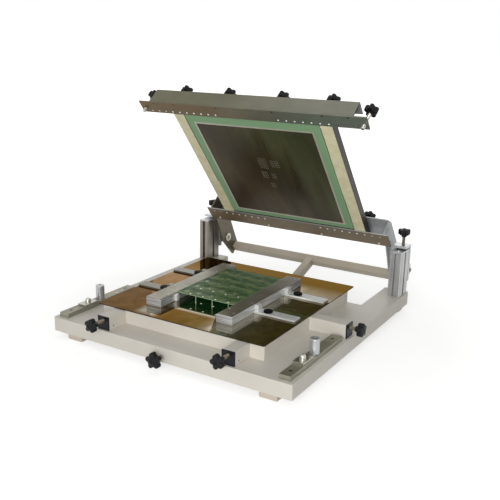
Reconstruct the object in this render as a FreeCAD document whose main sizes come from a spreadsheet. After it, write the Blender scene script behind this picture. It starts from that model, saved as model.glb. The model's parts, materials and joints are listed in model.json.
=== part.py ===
import FreeCAD, Part
import math
import os
import re
import Sketcher

# Manual stencil printer for solder paste, in millimetres.
# Machine frame: x to the right of the base's centre line, y back from the base's front edge,
# z up from the underside of the base tray. Each finished piece is then moved to the part's
# own frame, whose origin lies on the bench under the middle of the whole machine.
# Lift frame: the frame holder as it lies when closed, x as before, s forward from the hinge
# pin and n up from it. The holder stands open, so its pieces are turned about the pin.

doc = FreeCAD.newDocument("stencil_printer")
sheet = doc.addObject("Spreadsheet::Sheet", "Sizes")

driving = {
    "base tray": {
        "base_width": 600, "base_depth": 614, "base_height": 32, "base_sheet": 2, "base_round": 3,
        "notch_margin": 28, "notch_depth": 156, "tray_margin": 60, "spring_slot": 30,
    },
    "feet": {
        "foot_length": 40, "foot_width": 26, "foot_height": 15, "foot_inset": 54, "foot_margin": 20,
    },
    "table box": {
        "box_width": 412, "box_front": 60, "box_setback": 8, "box_height": 30, "box_wall": 3,
        "box_flange": 12, "box_lip": 2,
    },
    "adjuster blocks": {
        "block_side": 30, "block_wall": 2, "block_length": 52, "side_block_length": 85.5,
        "cap_thick": 3, "block_spread": 158, "rod_rise": 6, "side_setback": 6.5,
    },
    "adjusters": {
        "rod_dia": 8, "rod_fit": 0.05, "cap_fit": 0.5, "rod_past_nut": 10,
        "front_knob_seat": 18, "side_knob_seat": 308, "nut_length": 16,
        "nut_clearance": 0.3, "nut_wall": 6.5, "nut_setback": 2,
    },
    "star grips": {
        "knob_dia": 30, "big_knob_dia": 35, "lobe_count": 5, "lobe_half": 14,
        "lobe_valley": 0.66, "neck_dia": 13, "neck_length": 6, "head_height": 14,
        "bore_fit": 0.05,
    },
    "lock": {
        "lock_height": 12, "lock_knob_seat": 11, "lock_rod_length": 40,
    },
    "table": {
        "plate_side": 428, "plate_thick": 2, "plate_gap": 0.5, "plate_corner": 4,
        "table_middle_x": -7, "table_shift": 16, "turntable_dia": 160, "spigot_dia": 60,
        "flat_gap": 0.3, "drive_pin_dia": 5, "drive_pin_offset": 158, "drive_pin_depth": 4,
        "drive_slot_slack": 0.3, "drive_slot_depth": 3.3, "drive_slot_length": 40,
    },
    "cross slide": {
        "slide_rail_spread": 120, "slide_rail_width": 10, "slide_rail_height": 5,
        "slide_rail_ahead": 20, "slide_rail_behind": 10,
        "y_plate_width": 360, "y_plate_ahead": 50, "y_plate_behind": 20, "y_plate_thick": 8.5,
        "rib_width": 10, "rib_height": 5, "rib_length": 260, "rib_inset": 90,
        "x_plate_width": 250, "x_plate_depth": 260, "x_plate_thick": 10.7, "spigot_height": 8,
        "arm_reach": 66, "arm_width": 54, "arm_thick": 5, "x_nut_thick": 12, "x_nut_width": 24,
        "x_nut_setback": 27, "tongue_width": 10, "tongue_depth": 4.5, "arm_slot_length": 42,
        "lug_drop": 3, "x_nut_rise": 3,
    },
    "board rails": {
        "rail_width": 40, "rail_length": 305, "rail_height": 18.8, "rail_ahead": 162,
        "rail_gap": 0.2, "board_width": 150, "board_length": 215, "board_thick": 1.6,
        "board_shift": -6, "board_ahead": 99, "board_overlap": 2.5, "ledge": 3,
        "ledge_gap": 0.2, "rail_arm_width": 26, "rail_arm_thick": 4, "rail_arm_length": 98.5,
        "left_arm_length": 95.5, "front_arm_along": 87, "back_arm_along": 223,
        "tab_thick": 10, "tab_width": 14, "tab_setback": 2, "tab_back_setback": -1,
        "magnet_dia": 20, "magnet_height": 4, "magnet_offset": 28,
    },
    "stops": {
        "stop_bar_margin": 9, "stop_bar_width": 25, "stop_bar_front": 10, "stop_bar_back": 236,
        "stop_bar_height": 10, "post_inset": 14, "post_dia": 20, "post_height": 32,
        "post_hole": 6, "post_hole_depth": 10, "post_edge": 0.8,
        "pad_inset": 11, "pad_y": 84, "pad_length": 40, "pad_width": 24, "pad_thick": 4,
        "nut_dia": 13, "nut_height": 5, "dome_height": 5, "dome_waist": 0.75, "dome_tip": 0.35,
        "dome_shoulder": 0.66,
    },
    "columns": {
        "column_margin": 3, "column_width": 30, "column_setback": 9, "column_depth": 52,
        "column_height": 110, "column_corner": 3, "slot_mouth": 8, "slot_lip": 2,
        "slot_chamber": 15, "slot_chamber_depth": 4.5, "column_cap_thick": 4,
    },
    "hinge carriages": {
        "carriage_gap": 0.3, "carriage_thick": 7.7, "carriage_overhang": 5,
        "carriage_width": 36, "carriage_rise": 30, "flange_rise": 4, "flange_thick": 6,
        "flange_reach": 27, "key_width": 7.4, "key_depth": 1.7, "key_rise": 8, "key_drop": 9,
        "bearing_width": 31, "bearing_depth": 24, "bearing_height": 28, "bearing_corner": 6,
        "pin_setback": 11, "pin_rise": 2.5, "pin_dia": 10, "pin_fit": 0.05, "pin_nose": 1,
        "pin_tail": 5, "column_screw_setback": 5, "column_knob_rise": 19,
        "screw_tip_gap": 0.2, "jack_fit": 0.06,
    },
    "lift": {
        "open_angle": 50.7, "hinge_gap": 10, "end_plate_thick": 4, "end_corner": 5,
        "cheek_shelf_s": 120, "cheek_shelf_n": 50, "cheek_front_n": 44, "cheek_slope_s": 45,
        "cheek_brow_s": 19, "cheek_brow_n": 40, "cheek_tail_s": -58, "cheek_tail_n": 23,
        "cheek_heel_s": -64, "cheek_heel_n": -14, "cheek_sole_s": 12, "cheek_sole_n": -23,
        "cheek_toe_s": 56, "cheek_toe_n": -10,
        "bush_dia": 14, "bush_flange_dia": 24, "bush_flange": 3,
        "clamp_sheet": 3, "lip_under": -1.8,
        "rear_wall": 88, "rear_slack": 13, "rear_grip": 27, "lip_overhang": 10,
        "rear_headroom": 25.8, "crossbar_s": -53, "crossbar_n": 9.6, "tube_side": 20,
        "tube_wall": 2, "lever_angle": 20.6, "eye_reach": 92, "eye_margin": 8,
        "eye_pin_dia": 5, "eye_pin_length": 26,
    },
    "stencil": {
        "frame_side": 410, "frame_bar": 30, "frame_height": 20, "frame_wall": 2,
        "foil_side_margin": 53.5, "foil_back_margin": 48, "foil_front_margin": 57,
        "foil_thick": 0.3, "mesh_thick": 0.5, "mesh_window_overlap": 11,
    },
    "front clamp": {
        "lip_past_screw": 10, "front_slack": 1, "front_grip": 29, "front_flange_grip": 27,
        "front_channel_half": 260, "front_headroom": 19.8,
    },
    "clamp screws": {
        "clamp_inset": 15, "clamp_inner": 69, "front_clamp_inset": 14, "front_clamp_rise": 7,
        "rear_clamp_inset": 11, "rear_clamp_rise": 3, "clamp_tip_gap": 0.2, "clamp_fit": 0.06,
        "end_screw_inset": 18, "end_screw_seat": 30, "end_screw_bury": 10,
    },
    "balance spring": {
        "spring_dia": 12, "spring_wire": 2, "anchor_setback": 158, "anchor_thick": 2,
        "anchor_width": 30, "anchor_drop": 16, "anchor_flange": 24, "hook_length": 14,
        "hook_fit": 0.3, "hook_past": 4,
    },
    "working values": {"spare": 1},
}

row = 0
aliases = set()
for group, cells in driving.items():
    for alias, value in cells.items():
        row += 1
        sheet.set("A%d" % row, group)
        sheet.set("B%d" % row, str(value))
        sheet.setAlias("B%d" % row, alias)
        aliases.add(alias)
doc.recompute()

# Sizes that follow from the driving ones.
derived = {
    "column_outer": "base_width / 2 - column_margin",
    "column_inner": "column_outer - column_width",
    "column_middle": "column_inner + column_width / 2",
    "column_back": "base_depth - column_setback",
    "column_front": "column_back - column_depth",
    "column_top": "base_height + column_height",
    "cap_top": "column_top + column_cap_thick",
    "notch_half": "column_inner - notch_margin",
    "notch_front": "base_depth - notch_depth",
    "box_back": "notch_front - box_setback",
    "table_middle_y": "(box_front + box_back) / 2 + table_shift",
    "slide_rail_front": "box_front + slide_rail_ahead",
    "slide_rail_back": "box_back - slide_rail_behind",
    "y_plate_front": "box_front + y_plate_ahead",
    "y_plate_back": "box_back - y_plate_behind",
    "rib_front": "y_plate_front + rib_inset",
    "rib_back": "y_plate_back - rib_inset",
    "stop_bar_inner": "base_width / 2 - stop_bar_margin - stop_bar_width",
    "post_x": "stop_bar_inner + post_inset",
    "pad_x": "stop_bar_inner + pad_inset",
    "box_top": "base_height + box_height",
    "plate_under": "box_top + plate_gap",
    "plate_top": "plate_under + plate_thick",
    "rail_under": "plate_top + rail_gap",
    "rail_top": "rail_under + rail_height",
    "arm_top": "rail_under + rail_arm_thick",
    "rail_front": "table_middle_y - rail_ahead",
    "rail_arm_front": "rail_front + front_arm_along",
    "rail_arm_back": "rail_front + back_arm_along",
    "board_front": "table_middle_y - board_ahead",
    "board_middle_x": "table_middle_x + board_shift",
    "board_under": "rail_top - board_thick",
    "board_left": "board_middle_x - board_width / 2",
    "board_right": "board_middle_x + board_width / 2",
    "right_rail_inner": "board_right - board_overlap",
    "left_rail_inner": "board_left + board_overlap",
    "right_rail_outer": "right_rail_inner + rail_width",
    "left_rail_outer": "left_rail_inner - rail_width",
    "block_middle": "base_height + block_side / 2",
    "rod_z": "block_middle + rod_rise",
    "bore_dia": "rod_dia + 2 * rod_fit",
    "block_front": "box_front - block_length",
    "box_side": "box_width / 2",
    "side_block_end": "box_side + side_block_length",
    "y_plate_under": "base_height + nut_clearance",
    "y_plate_top": "y_plate_under + y_plate_thick",
    "x_plate_under": "y_plate_top + flat_gap",
    "x_plate_top": "x_plate_under + x_plate_thick",
    "hub_under": "x_plate_top + flat_gap",
    "x_plate_right": "table_middle_x + x_plate_width / 2",
    "x_nut_middle": "box_side - box_wall - x_nut_setback",
    "arm_under": "y_plate_top + flat_gap",
    "theta_nut_top": "plate_under - flat_gap * 3",
    "carriage_front": "column_back + carriage_gap",
    "carriage_back": "carriage_front + carriage_thick",
    "carriage_inner": "column_inner - carriage_overhang",
    "carriage_foot": "base_height + carriage_rise",
    "key_foot": "carriage_foot + key_rise",
    "key_top": "column_top - key_drop",
    "flange_under": "cap_top + flange_rise",
    "column_screw_y": "column_back - column_screw_setback",
    "column_knob_seat": "flange_under + flange_thick + column_knob_rise",
    "pivot_y": "carriage_back + pin_setback",
    "pivot_z": "rail_top + pin_rise",
    "end_plate_outer": "carriage_inner - hinge_gap",
    "end_plate_inner": "end_plate_outer - end_plate_thick",
    "pin_inner": "end_plate_inner - bush_flange - pin_nose",
    "pin_outer": "carriage_inner + bearing_width + pin_tail",
    "lip_top": "lip_under + clamp_sheet",
    "frame_under": "lip_top",
    "frame_top": "frame_under + frame_height",
    "frame_back": "rear_wall + clamp_sheet + rear_slack",
    "frame_front": "frame_back + frame_side",
    "foil_half": "frame_side / 2 - foil_side_margin",
    "foil_back": "frame_back + foil_back_margin",
    "foil_front": "frame_front - foil_front_margin",
    "rear_lip_front": "frame_back + rear_grip",
    "rear_lip_half": "end_plate_outer + lip_overhang",
    "rear_flange_top": "frame_top + rear_headroom",
    "front_lip_half": "post_x + lip_past_screw",
    "front_lip_back": "frame_front - front_grip",
    "front_wall_front": "frame_front + front_slack + clamp_sheet",
    "front_flange_back": "frame_front - front_flange_grip",
    "front_channel_top": "frame_top + front_headroom",
    "clamp_outer": "frame_side / 2 - clamp_inset",
    "front_clamp_s": "frame_front - front_clamp_inset",
    "front_clamp_seat": "front_channel_top + front_clamp_rise",
    "rear_clamp_s": "frame_back + rear_clamp_inset",
    "rear_clamp_seat": "rear_flange_top + rear_clamp_rise",
    "end_screw_s": "frame_front - end_screw_inset",
    "end_tip": "base_height + stop_bar_height + post_height + flat_gap - pivot_z",
    "window_half": "frame_side / 2 - frame_bar",
    "window_back": "frame_back + frame_bar",
    "window_front": "frame_front - frame_bar",
    "mesh_under": "frame_under + foil_thick",
    "grip_top": "neck_length + head_height",
    "front_reach": "front_knob_seat + grip_top",
    "right_reach": "side_knob_seat + grip_top",
    "crossbar_reach": "-crossbar_s * cos(open_angle) + crossbar_n * sin(open_angle)"
                      " + tube_side / 2 * (cos(open_angle) + sin(open_angle))",
    "side_y": "table_middle_y - side_setback",
    "post_y": "pivot_y - end_screw_s",
    "theta_nut_y": "y_plate_front + nut_setback",
    "drive_pin_y": "theta_nut_y + nut_length / 2",
    "anchor_y": "notch_front - anchor_setback",
    "lever_length": "eye_reach + eye_margin",
    "eye_s": "crossbar_s + eye_reach * sin(lever_angle)",
    "eye_n": "crossbar_n - eye_reach * cos(lever_angle)",
    "eye_y": "pivot_y - eye_s * cos(open_angle) + eye_n * sin(open_angle)",
    "eye_z": "pivot_z + eye_s * sin(open_angle) + eye_n * cos(open_angle)",
    "origin_x": "(right_reach - base_width / 2) / 2",
    "origin_y": "(pivot_y + crossbar_reach - front_reach) / 2",
}


# Turns named sizes into an expression on the sheet.
def formula(text):
    def swap(found):
        word = found.group(0)
        if word in aliases:
            return "Sizes." + word
        if word in derived:
            return "(" + formula(derived[word]) + ")"
        return word
    return re.sub(r"[a-z][a-z_]*", swap, str(text))


# Primitives and booleans, all in the machine frame or in the closed lift frame.
def box(name, x, y, z, dx, dy, dz):
    made = doc.addObject("Part::Box", name)
    for prop, text in (("Length", dx), ("Width", dy), ("Height", dz)):
        made.setExpression(prop, formula(text))
    return at(made, x, y, z)


def at(made, x, y, z):
    for prop, text in (("x", x), ("y", y), ("z", z)):
        made.setExpression("Placement.Base." + prop, formula(text))
    return made


turns = {
    "up": FreeCAD.Rotation(),
    "right": FreeCAD.Rotation(FreeCAD.Vector(0, 1, 0), 90),
    "left": FreeCAD.Rotation(FreeCAD.Vector(0, 1, 0), -90),
    "front": FreeCAD.Rotation(FreeCAD.Vector(1, 0, 0), 90),
    "back": FreeCAD.Rotation(FreeCAD.Vector(1, 0, 0), -90),
}


def rod(name, dia, length, x, y, z, towards="up"):
    made = doc.addObject("Part::Cylinder", name)
    made.Placement = FreeCAD.Placement(FreeCAD.Vector(), turns[towards])
    made.setExpression("Radius", formula("(%s) / 2" % dia))
    made.setExpression("Height", formula(length))
    return at(made, x, y, z)


def fuse(name, *pieces):
    made = doc.addObject("Part::MultiFuse", name)
    made.Shapes = list(pieces)
    made.Refine = True
    return made


def cut(name, whole, *tools):
    made = doc.addObject("Part::Cut", name)
    made.Base = whole
    made.Tool = tools[0] if len(tools) == 1 else fuse(name + "_tools", *tools)
    return made


def mirrored(name, source):
    made = doc.addObject("Part::Mirroring", name)
    made.Source = source
    made.Normal = FreeCAD.Vector(1, 0, 0)
    return made


# A closed outline in a body's own sketch. Its corners start in order on a ring, and named
# sizes then draw each one to its place.
def outline(body, name, role, corners, offset="0"):
    sketch = body.newObject("Sketcher::SketchObject", name)
    plane = [face for face in body.Origin.OriginFeatures if face.Role == role][0]
    sketch.AttachmentSupport = (plane, [""])
    sketch.MapMode = "FlatFace"
    sketch.setExpression("AttachmentOffset.Base.z", formula(offset))
    count = len(corners)
    reach = sheet.get("base_width") / 3
    ring = [
        FreeCAD.Vector(reach * math.cos(turn), reach * math.sin(turn), 0)
        for turn in (math.tau * (step + 0.3) / count for step in range(count))
    ]
    for step in range(count):
        sketch.addGeometry(Part.LineSegment(ring[step], ring[(step + 1) % count]), False)
    for step in range(count):
        sketch.addConstraint(Sketcher.Constraint("Coincident", step, 2, (step + 1) % count, 1))
    for step, corner in enumerate(corners):
        for kind, start, text in zip("XY", ring[step], corner):
            mark = sketch.addConstraint(
                Sketcher.Constraint("Distance" + kind, -1, 1, step, 1, start))
            label = "%s%d" % (kind.lower(), step)
            sketch.renameConstraint(mark, label)
            sketch.setExpression("Constraints." + label, formula(text))
    return sketch


def pad(body, sketch, length):
    made = body.newObject("PartDesign::Pad", sketch.Name + "_pad")
    made.Profile = sketch
    made.setExpression("Length", formula(length))
    doc.recompute()
    return made


def prism(name, role, corners, offset, length):
    body = doc.addObject("PartDesign::Body", name)
    pad(body, outline(body, name + "_outline", role, corners, offset), length)
    return body


# Rounds the edges of a body that pass the given test.
def rounded(body, radius, wanted):
    last = body.Tip
    names = ["Edge%d" % (k + 1) for k, edge in enumerate(last.Shape.Edges) if wanted(edge)]
    made = body.newObject("PartDesign::Fillet", body.Name + "_round")
    made.Base = (last, names)
    made.setExpression("Radius", formula(radius))
    doc.recompute()
    return body


def turned(name, corners):
    body = doc.addObject("PartDesign::Body", name)
    sketch = outline(body, name + "_outline", "XZ_Plane", corners)
    made = body.newObject("PartDesign::Revolution", name + "_turn")
    made.Profile = sketch
    made.ReferenceAxis = (sketch, ["V_Axis"])
    made.Angle = 360
    doc.recompute()
    return body


# Finished pieces: each gets its name and its place in the part's own frame.
nodes = []


def place(made, carrier):
    if carrier == "lift":
        at(made, "-origin_x", "pivot_y - origin_y", "foot_height + pivot_z")
        made.Placement.Rotation = FreeCAD.Rotation(FreeCAD.Vector(1, 0, 0), -1)
        made.setExpression("Placement.Rotation.Angle", formula("-open_angle"))
        return
    at(made, "-origin_x", "-origin_y", "foot_height")


def node(name, carrier, *pieces):
    made = doc.addObject("Part::Compound", name)
    made.Links = list(pieces)
    made.Label = name
    place(made, carrier)
    nodes.append(made)
    return made


def vertical(edge):
    return edge.BoundBox.ZLength > 1 and edge.BoundBox.XLength + edge.BoundBox.YLength < 0.01


# Base tray: a folded box, U-shaped behind, open underneath in its middle.
def tray_outline(inset):
    side = "base_width / 2 - " + inset
    arm = "notch_half + " + inset
    back = "base_depth - " + inset
    bay = "notch_front - " + inset
    return [
        ("-(%s)" % side, inset), (side, inset), (side, back), (arm, back), (arm, bay),
        ("-(%s)" % arm, bay), ("-(%s)" % arm, back), ("-(%s)" % side, back),
    ]


def make_base():
    shell = prism("tray_shell", "XY_Plane", tray_outline("0 * base_sheet"), "0", "base_height")
    rounded(shell, "base_round", vertical)
    hollow = prism("tray_hollow", "XY_Plane", tray_outline("base_sheet"), "base_sheet",
                   "base_height - 2 * base_sheet")
    mouth = box("tray_mouth", "-base_width / 2 + tray_margin", "tray_margin", "-spare",
                "base_width - 2 * tray_margin", "notch_front - 2 * tray_margin",
                "base_sheet + 2 * spare")
    slot = box("tray_slot", "-spring_slot / 2", "notch_front - base_sheet - spare", "base_sheet",
               "spring_slot", "base_sheet + 2 * spare", "base_height - 2 * base_sheet")
    lock_hole = rod("tray_lock_hole", "bore_dia", "base_sheet + 2 * spare", "0", "-spare",
                    "lock_height", "back")
    node("base_pan", "base", cut("tray", shell, hollow, mouth, slot, lock_hole))

    # The rear feet stand under the middle of the tray's two arms.
    feet = []
    for side in (-1, 1):
        for end, reach, y in (("front", "base_width / 2 - foot_inset", "foot_margin"),
                              ("rear", "(base_width / 2 + notch_half) / 2",
                               "base_depth - foot_margin")):
            name = "foot_%s_%s" % ("left" if side < 0 else "right", end)
            x = "%d * (%s)" % (side, reach)
            feet.append(box(name, x + " - foot_length / 2", "%s - foot_width / 2" % y,
                            "-foot_height", "foot_length", "foot_width", "foot_height"))
    node("base_feet", "base", *feet)


def make_table_box():
    depth = "box_back - box_front"
    body = box("box_body", "-box_side", "box_front", "base_height", "box_width", depth,
               "box_height")
    room = box("box_room", "-box_side + box_wall", "box_front + box_wall", "base_height - spare",
               "box_width - 2 * box_wall", depth + " - 2 * box_wall",
               "box_height - box_lip + spare")
    mouth = box("box_mouth", "-box_side + box_flange", "box_front + box_flange", "base_height",
                "box_width - 2 * box_flange", depth + " - 2 * box_flange", "box_height + spare")
    bores = [
        rod("box_bore_" + word, "rod_dia + 2 * cap_fit", "box_wall + 2 * spare", x,
            "box_front - spare", "rod_z", "back")
        for word, x in (("left", "-block_spread"), ("right", "block_spread"))
    ]
    side_bore = rod("box_bore_side", "rod_dia + 2 * cap_fit", "box_wall + 2 * spare",
                    "box_side - box_wall - spare", "side_y", "rod_z", "right")
    node("table_box", "base", cut("box_cut", body, room, mouth, side_bore, *bores))


# Square tubes that carry the adjuster rods, closed by drilled end caps.
def make_blocks():
    inner = "block_side - 2 * block_wall"
    outer = box("front_block_outer", "block_spread - block_side / 2", "block_front",
                "base_height", "block_side", "block_length", "block_side")
    core = box("front_block_core", "block_spread - block_side / 2 + block_wall",
               "block_front - spare", "base_height + block_wall", inner,
               "block_length + 2 * spare", inner)
    tube = cut("front_block_tube", outer, core)
    node("front_right_block", "base", tube)
    node("front_left_block", "base", mirrored("front_block_mirror", tube))
    side_outer = box("side_block_outer", "box_side", "side_y - block_side / 2", "base_height",
                     "side_block_length", "block_side", "block_side")
    side_core = box("side_block_core", "box_side - spare", "side_y - block_side / 2 + block_wall",
                    "base_height + block_wall", "side_block_length + 2 * spare", inner, inner)
    node("side_block", "base", cut("side_block_tube", side_outer, side_core))
    cap = cut(
        "front_cap",
        box("front_cap_plate", "block_spread - block_side / 2", "block_front - cap_thick",
            "base_height", "block_side", "cap_thick", "block_side"),
        rod("front_cap_bore", "rod_dia + 2 * cap_fit", "cap_thick + 2 * spare", "block_spread",
            "block_front - cap_thick - spare", "rod_z", "back"))
    side_cap = cut(
        "side_cap",
        box("side_cap_plate", "side_block_end", "side_y - block_side / 2", "base_height",
            "cap_thick", "block_side", "block_side"),
        rod("side_cap_bore", "rod_dia + 2 * cap_fit", "cap_thick + 2 * spare",
            "side_block_end - spare", "side_y", "rod_z", "right"))
    node("block_caps", "base", cap, mirrored("front_cap_mirror", cap), side_cap)


# Stop bars, and the posts that the closed lift comes down on.
def make_stops():
    bar = box("stop_bar", "stop_bar_inner", "stop_bar_front", "base_height", "stop_bar_width",
              "stop_bar_back - stop_bar_front", "stop_bar_height")
    node("right_stop_bar", "base", bar)
    node("left_stop_bar", "base", mirrored("stop_bar_mirror", bar))

    edge = "post_dia / 2"
    post = turned("stop_post", [
        ("0", "0"), (edge, "0"), (edge, "post_height - post_edge"),
        (edge + " - post_edge", "post_height"), ("post_hole / 2", "post_height"),
        ("post_hole / 2", "post_height - post_hole_depth"),
        ("0", "post_height - post_hole_depth"),
    ])
    at(post, "post_x", "post_y", "base_height + stop_bar_height")
    node("stop_posts", "base", post, mirrored("stop_post_mirror", post))

    dome = turned("stop_dome", [
        ("0", "0"), ("nut_dia / 2", "0"), ("nut_dia / 2", "nut_height"),
        ("nut_dia / 2 * dome_waist", "nut_height + dome_height * dome_shoulder"),
        ("nut_dia / 2 * dome_tip", "nut_height + dome_height"),
        ("0", "nut_height + dome_height"),
    ])
    bar_top = "base_height + stop_bar_height"
    at(dome, "pad_x", "pad_y", bar_top + " + pad_thick")
    pad_plate = box("stop_pad", "pad_x - pad_width / 2", "pad_y - pad_length / 2", bar_top,
                    "pad_width", "pad_length", "pad_thick")
    capped = fuse("dome_nut", pad_plate, dome)
    node("dome_nuts", "base", capped, mirrored("dome_nut_mirror", capped))


# Slotted extrusion columns with plain caps.
def column_block(name, foot, height):
    made = prism(name, "XY_Plane", [
        ("column_inner", "column_front"), ("column_outer", "column_front"),
        ("column_outer", "column_back"), ("column_inner", "column_back"),
    ], foot, height)
    box_of = made.Tip.Shape.BoundBox
    return rounded(made, "column_corner", lambda edge: vertical(edge)
                   and edge.BoundBox.XMin > box_of.XMax - 0.01
                   and edge.BoundBox.YMin < box_of.YMin + 0.01)


def make_columns():
    whole = column_block("column_whole", "base_height", "column_height")
    foot = "base_height - spare"
    tall = "column_height + 2 * spare"
    deep = "slot_lip + slot_chamber_depth"
    middle_y = "(column_front + column_back) / 2"
    slots = []
    for face, mouth_y, room_y in (
            ("front", "column_front - spare", "column_front + slot_lip"),
            ("back", "column_back - slot_lip", "column_back - " + deep.replace("+", "-"))):
        slots.append(box("slot_mouth_" + face, "column_middle - slot_mouth / 2", mouth_y, foot,
                         "slot_mouth", "slot_lip + spare", tall))
        slots.append(box("slot_room_" + face, "column_middle - slot_chamber / 2", room_y, foot,
                         "slot_chamber", "slot_chamber_depth", tall))
    for face, mouth_x, room_x in (
            ("inner", "column_inner - spare", "column_inner + slot_lip"),
            ("outer", "column_outer - slot_lip", "column_outer - " + deep.replace("+", "-"))):
        slots.append(box("slot_mouth_" + face, mouth_x, middle_y + " - slot_mouth / 2", foot,
                         "slot_lip + spare", "slot_mouth", tall))
        slots.append(box("slot_room_" + face, room_x, middle_y + " - slot_chamber / 2", foot,
                         "slot_chamber_depth", "slot_chamber", tall))
    column = cut("column", whole, *slots)
    node("right_column", "base", column)
    node("left_column", "base", mirrored("column_mirror", column))
    cap = column_block("column_cap", "column_top", "column_cap_thick")
    node("column_caps", "base", cap, mirrored("column_cap_mirror", cap))


# Hinge carriages: keyed plates behind the columns, each with a flange for the height screw
# above and a bearing block for the hinge pin.
def make_carriages():
    plate = box("carriage_plate", "carriage_inner", "carriage_front", "carriage_foot",
                "carriage_width", "carriage_thick", "flange_under - carriage_foot")
    key = box("carriage_key", "column_middle - key_width / 2", "carriage_front - carriage_gap"
              " - key_depth", "key_foot", "key_width", "carriage_gap + key_depth",
              "key_top - key_foot")
    flange = box("carriage_flange", "carriage_inner", "carriage_front - flange_reach",
                 "flange_under", "carriage_width", "flange_reach + carriage_thick",
                 "flange_thick")
    tapped = rod("carriage_tapped", "rod_dia + 2 * jack_fit", "flange_thick + 2 * spare",
                 "column_middle", "column_screw_y", "flange_under - spare")
    low = "pivot_z - bearing_height / 2"
    high = "pivot_z + bearing_height / 2"
    bearing = prism("bearing_block", "YZ_Plane", [
        ("carriage_back", low), ("carriage_back + bearing_depth", low),
        ("carriage_back + bearing_depth", high), ("carriage_back", high),
    ], "carriage_inner", "bearing_width")
    far = bearing.Tip.Shape.BoundBox.YMax
    rounded(bearing, "bearing_corner", lambda edge: edge.BoundBox.YMin > far - 0.01
            and edge.BoundBox.XLength > 1 and edge.BoundBox.ZLength < 0.01)
    bore = rod("bearing_bore", "pin_dia", "bearing_width + 2 * spare", "carriage_inner - spare",
               "pivot_y", "pivot_z", "right")
    carriage = cut("carriage", fuse("carriage_whole", plate, key, flange, bearing), tapped, bore)
    node("right_hinge_carriage", "base", carriage)
    node("left_hinge_carriage", "base", mirrored("carriage_mirror", carriage))
    pin = rod("hinge_pin", "pin_dia", "pin_outer - pin_inner", "pin_inner", "pivot_y", "pivot_z",
              "right")
    node("hinge_pins", "base", pin, mirrored("hinge_pin_mirror", pin))


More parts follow.
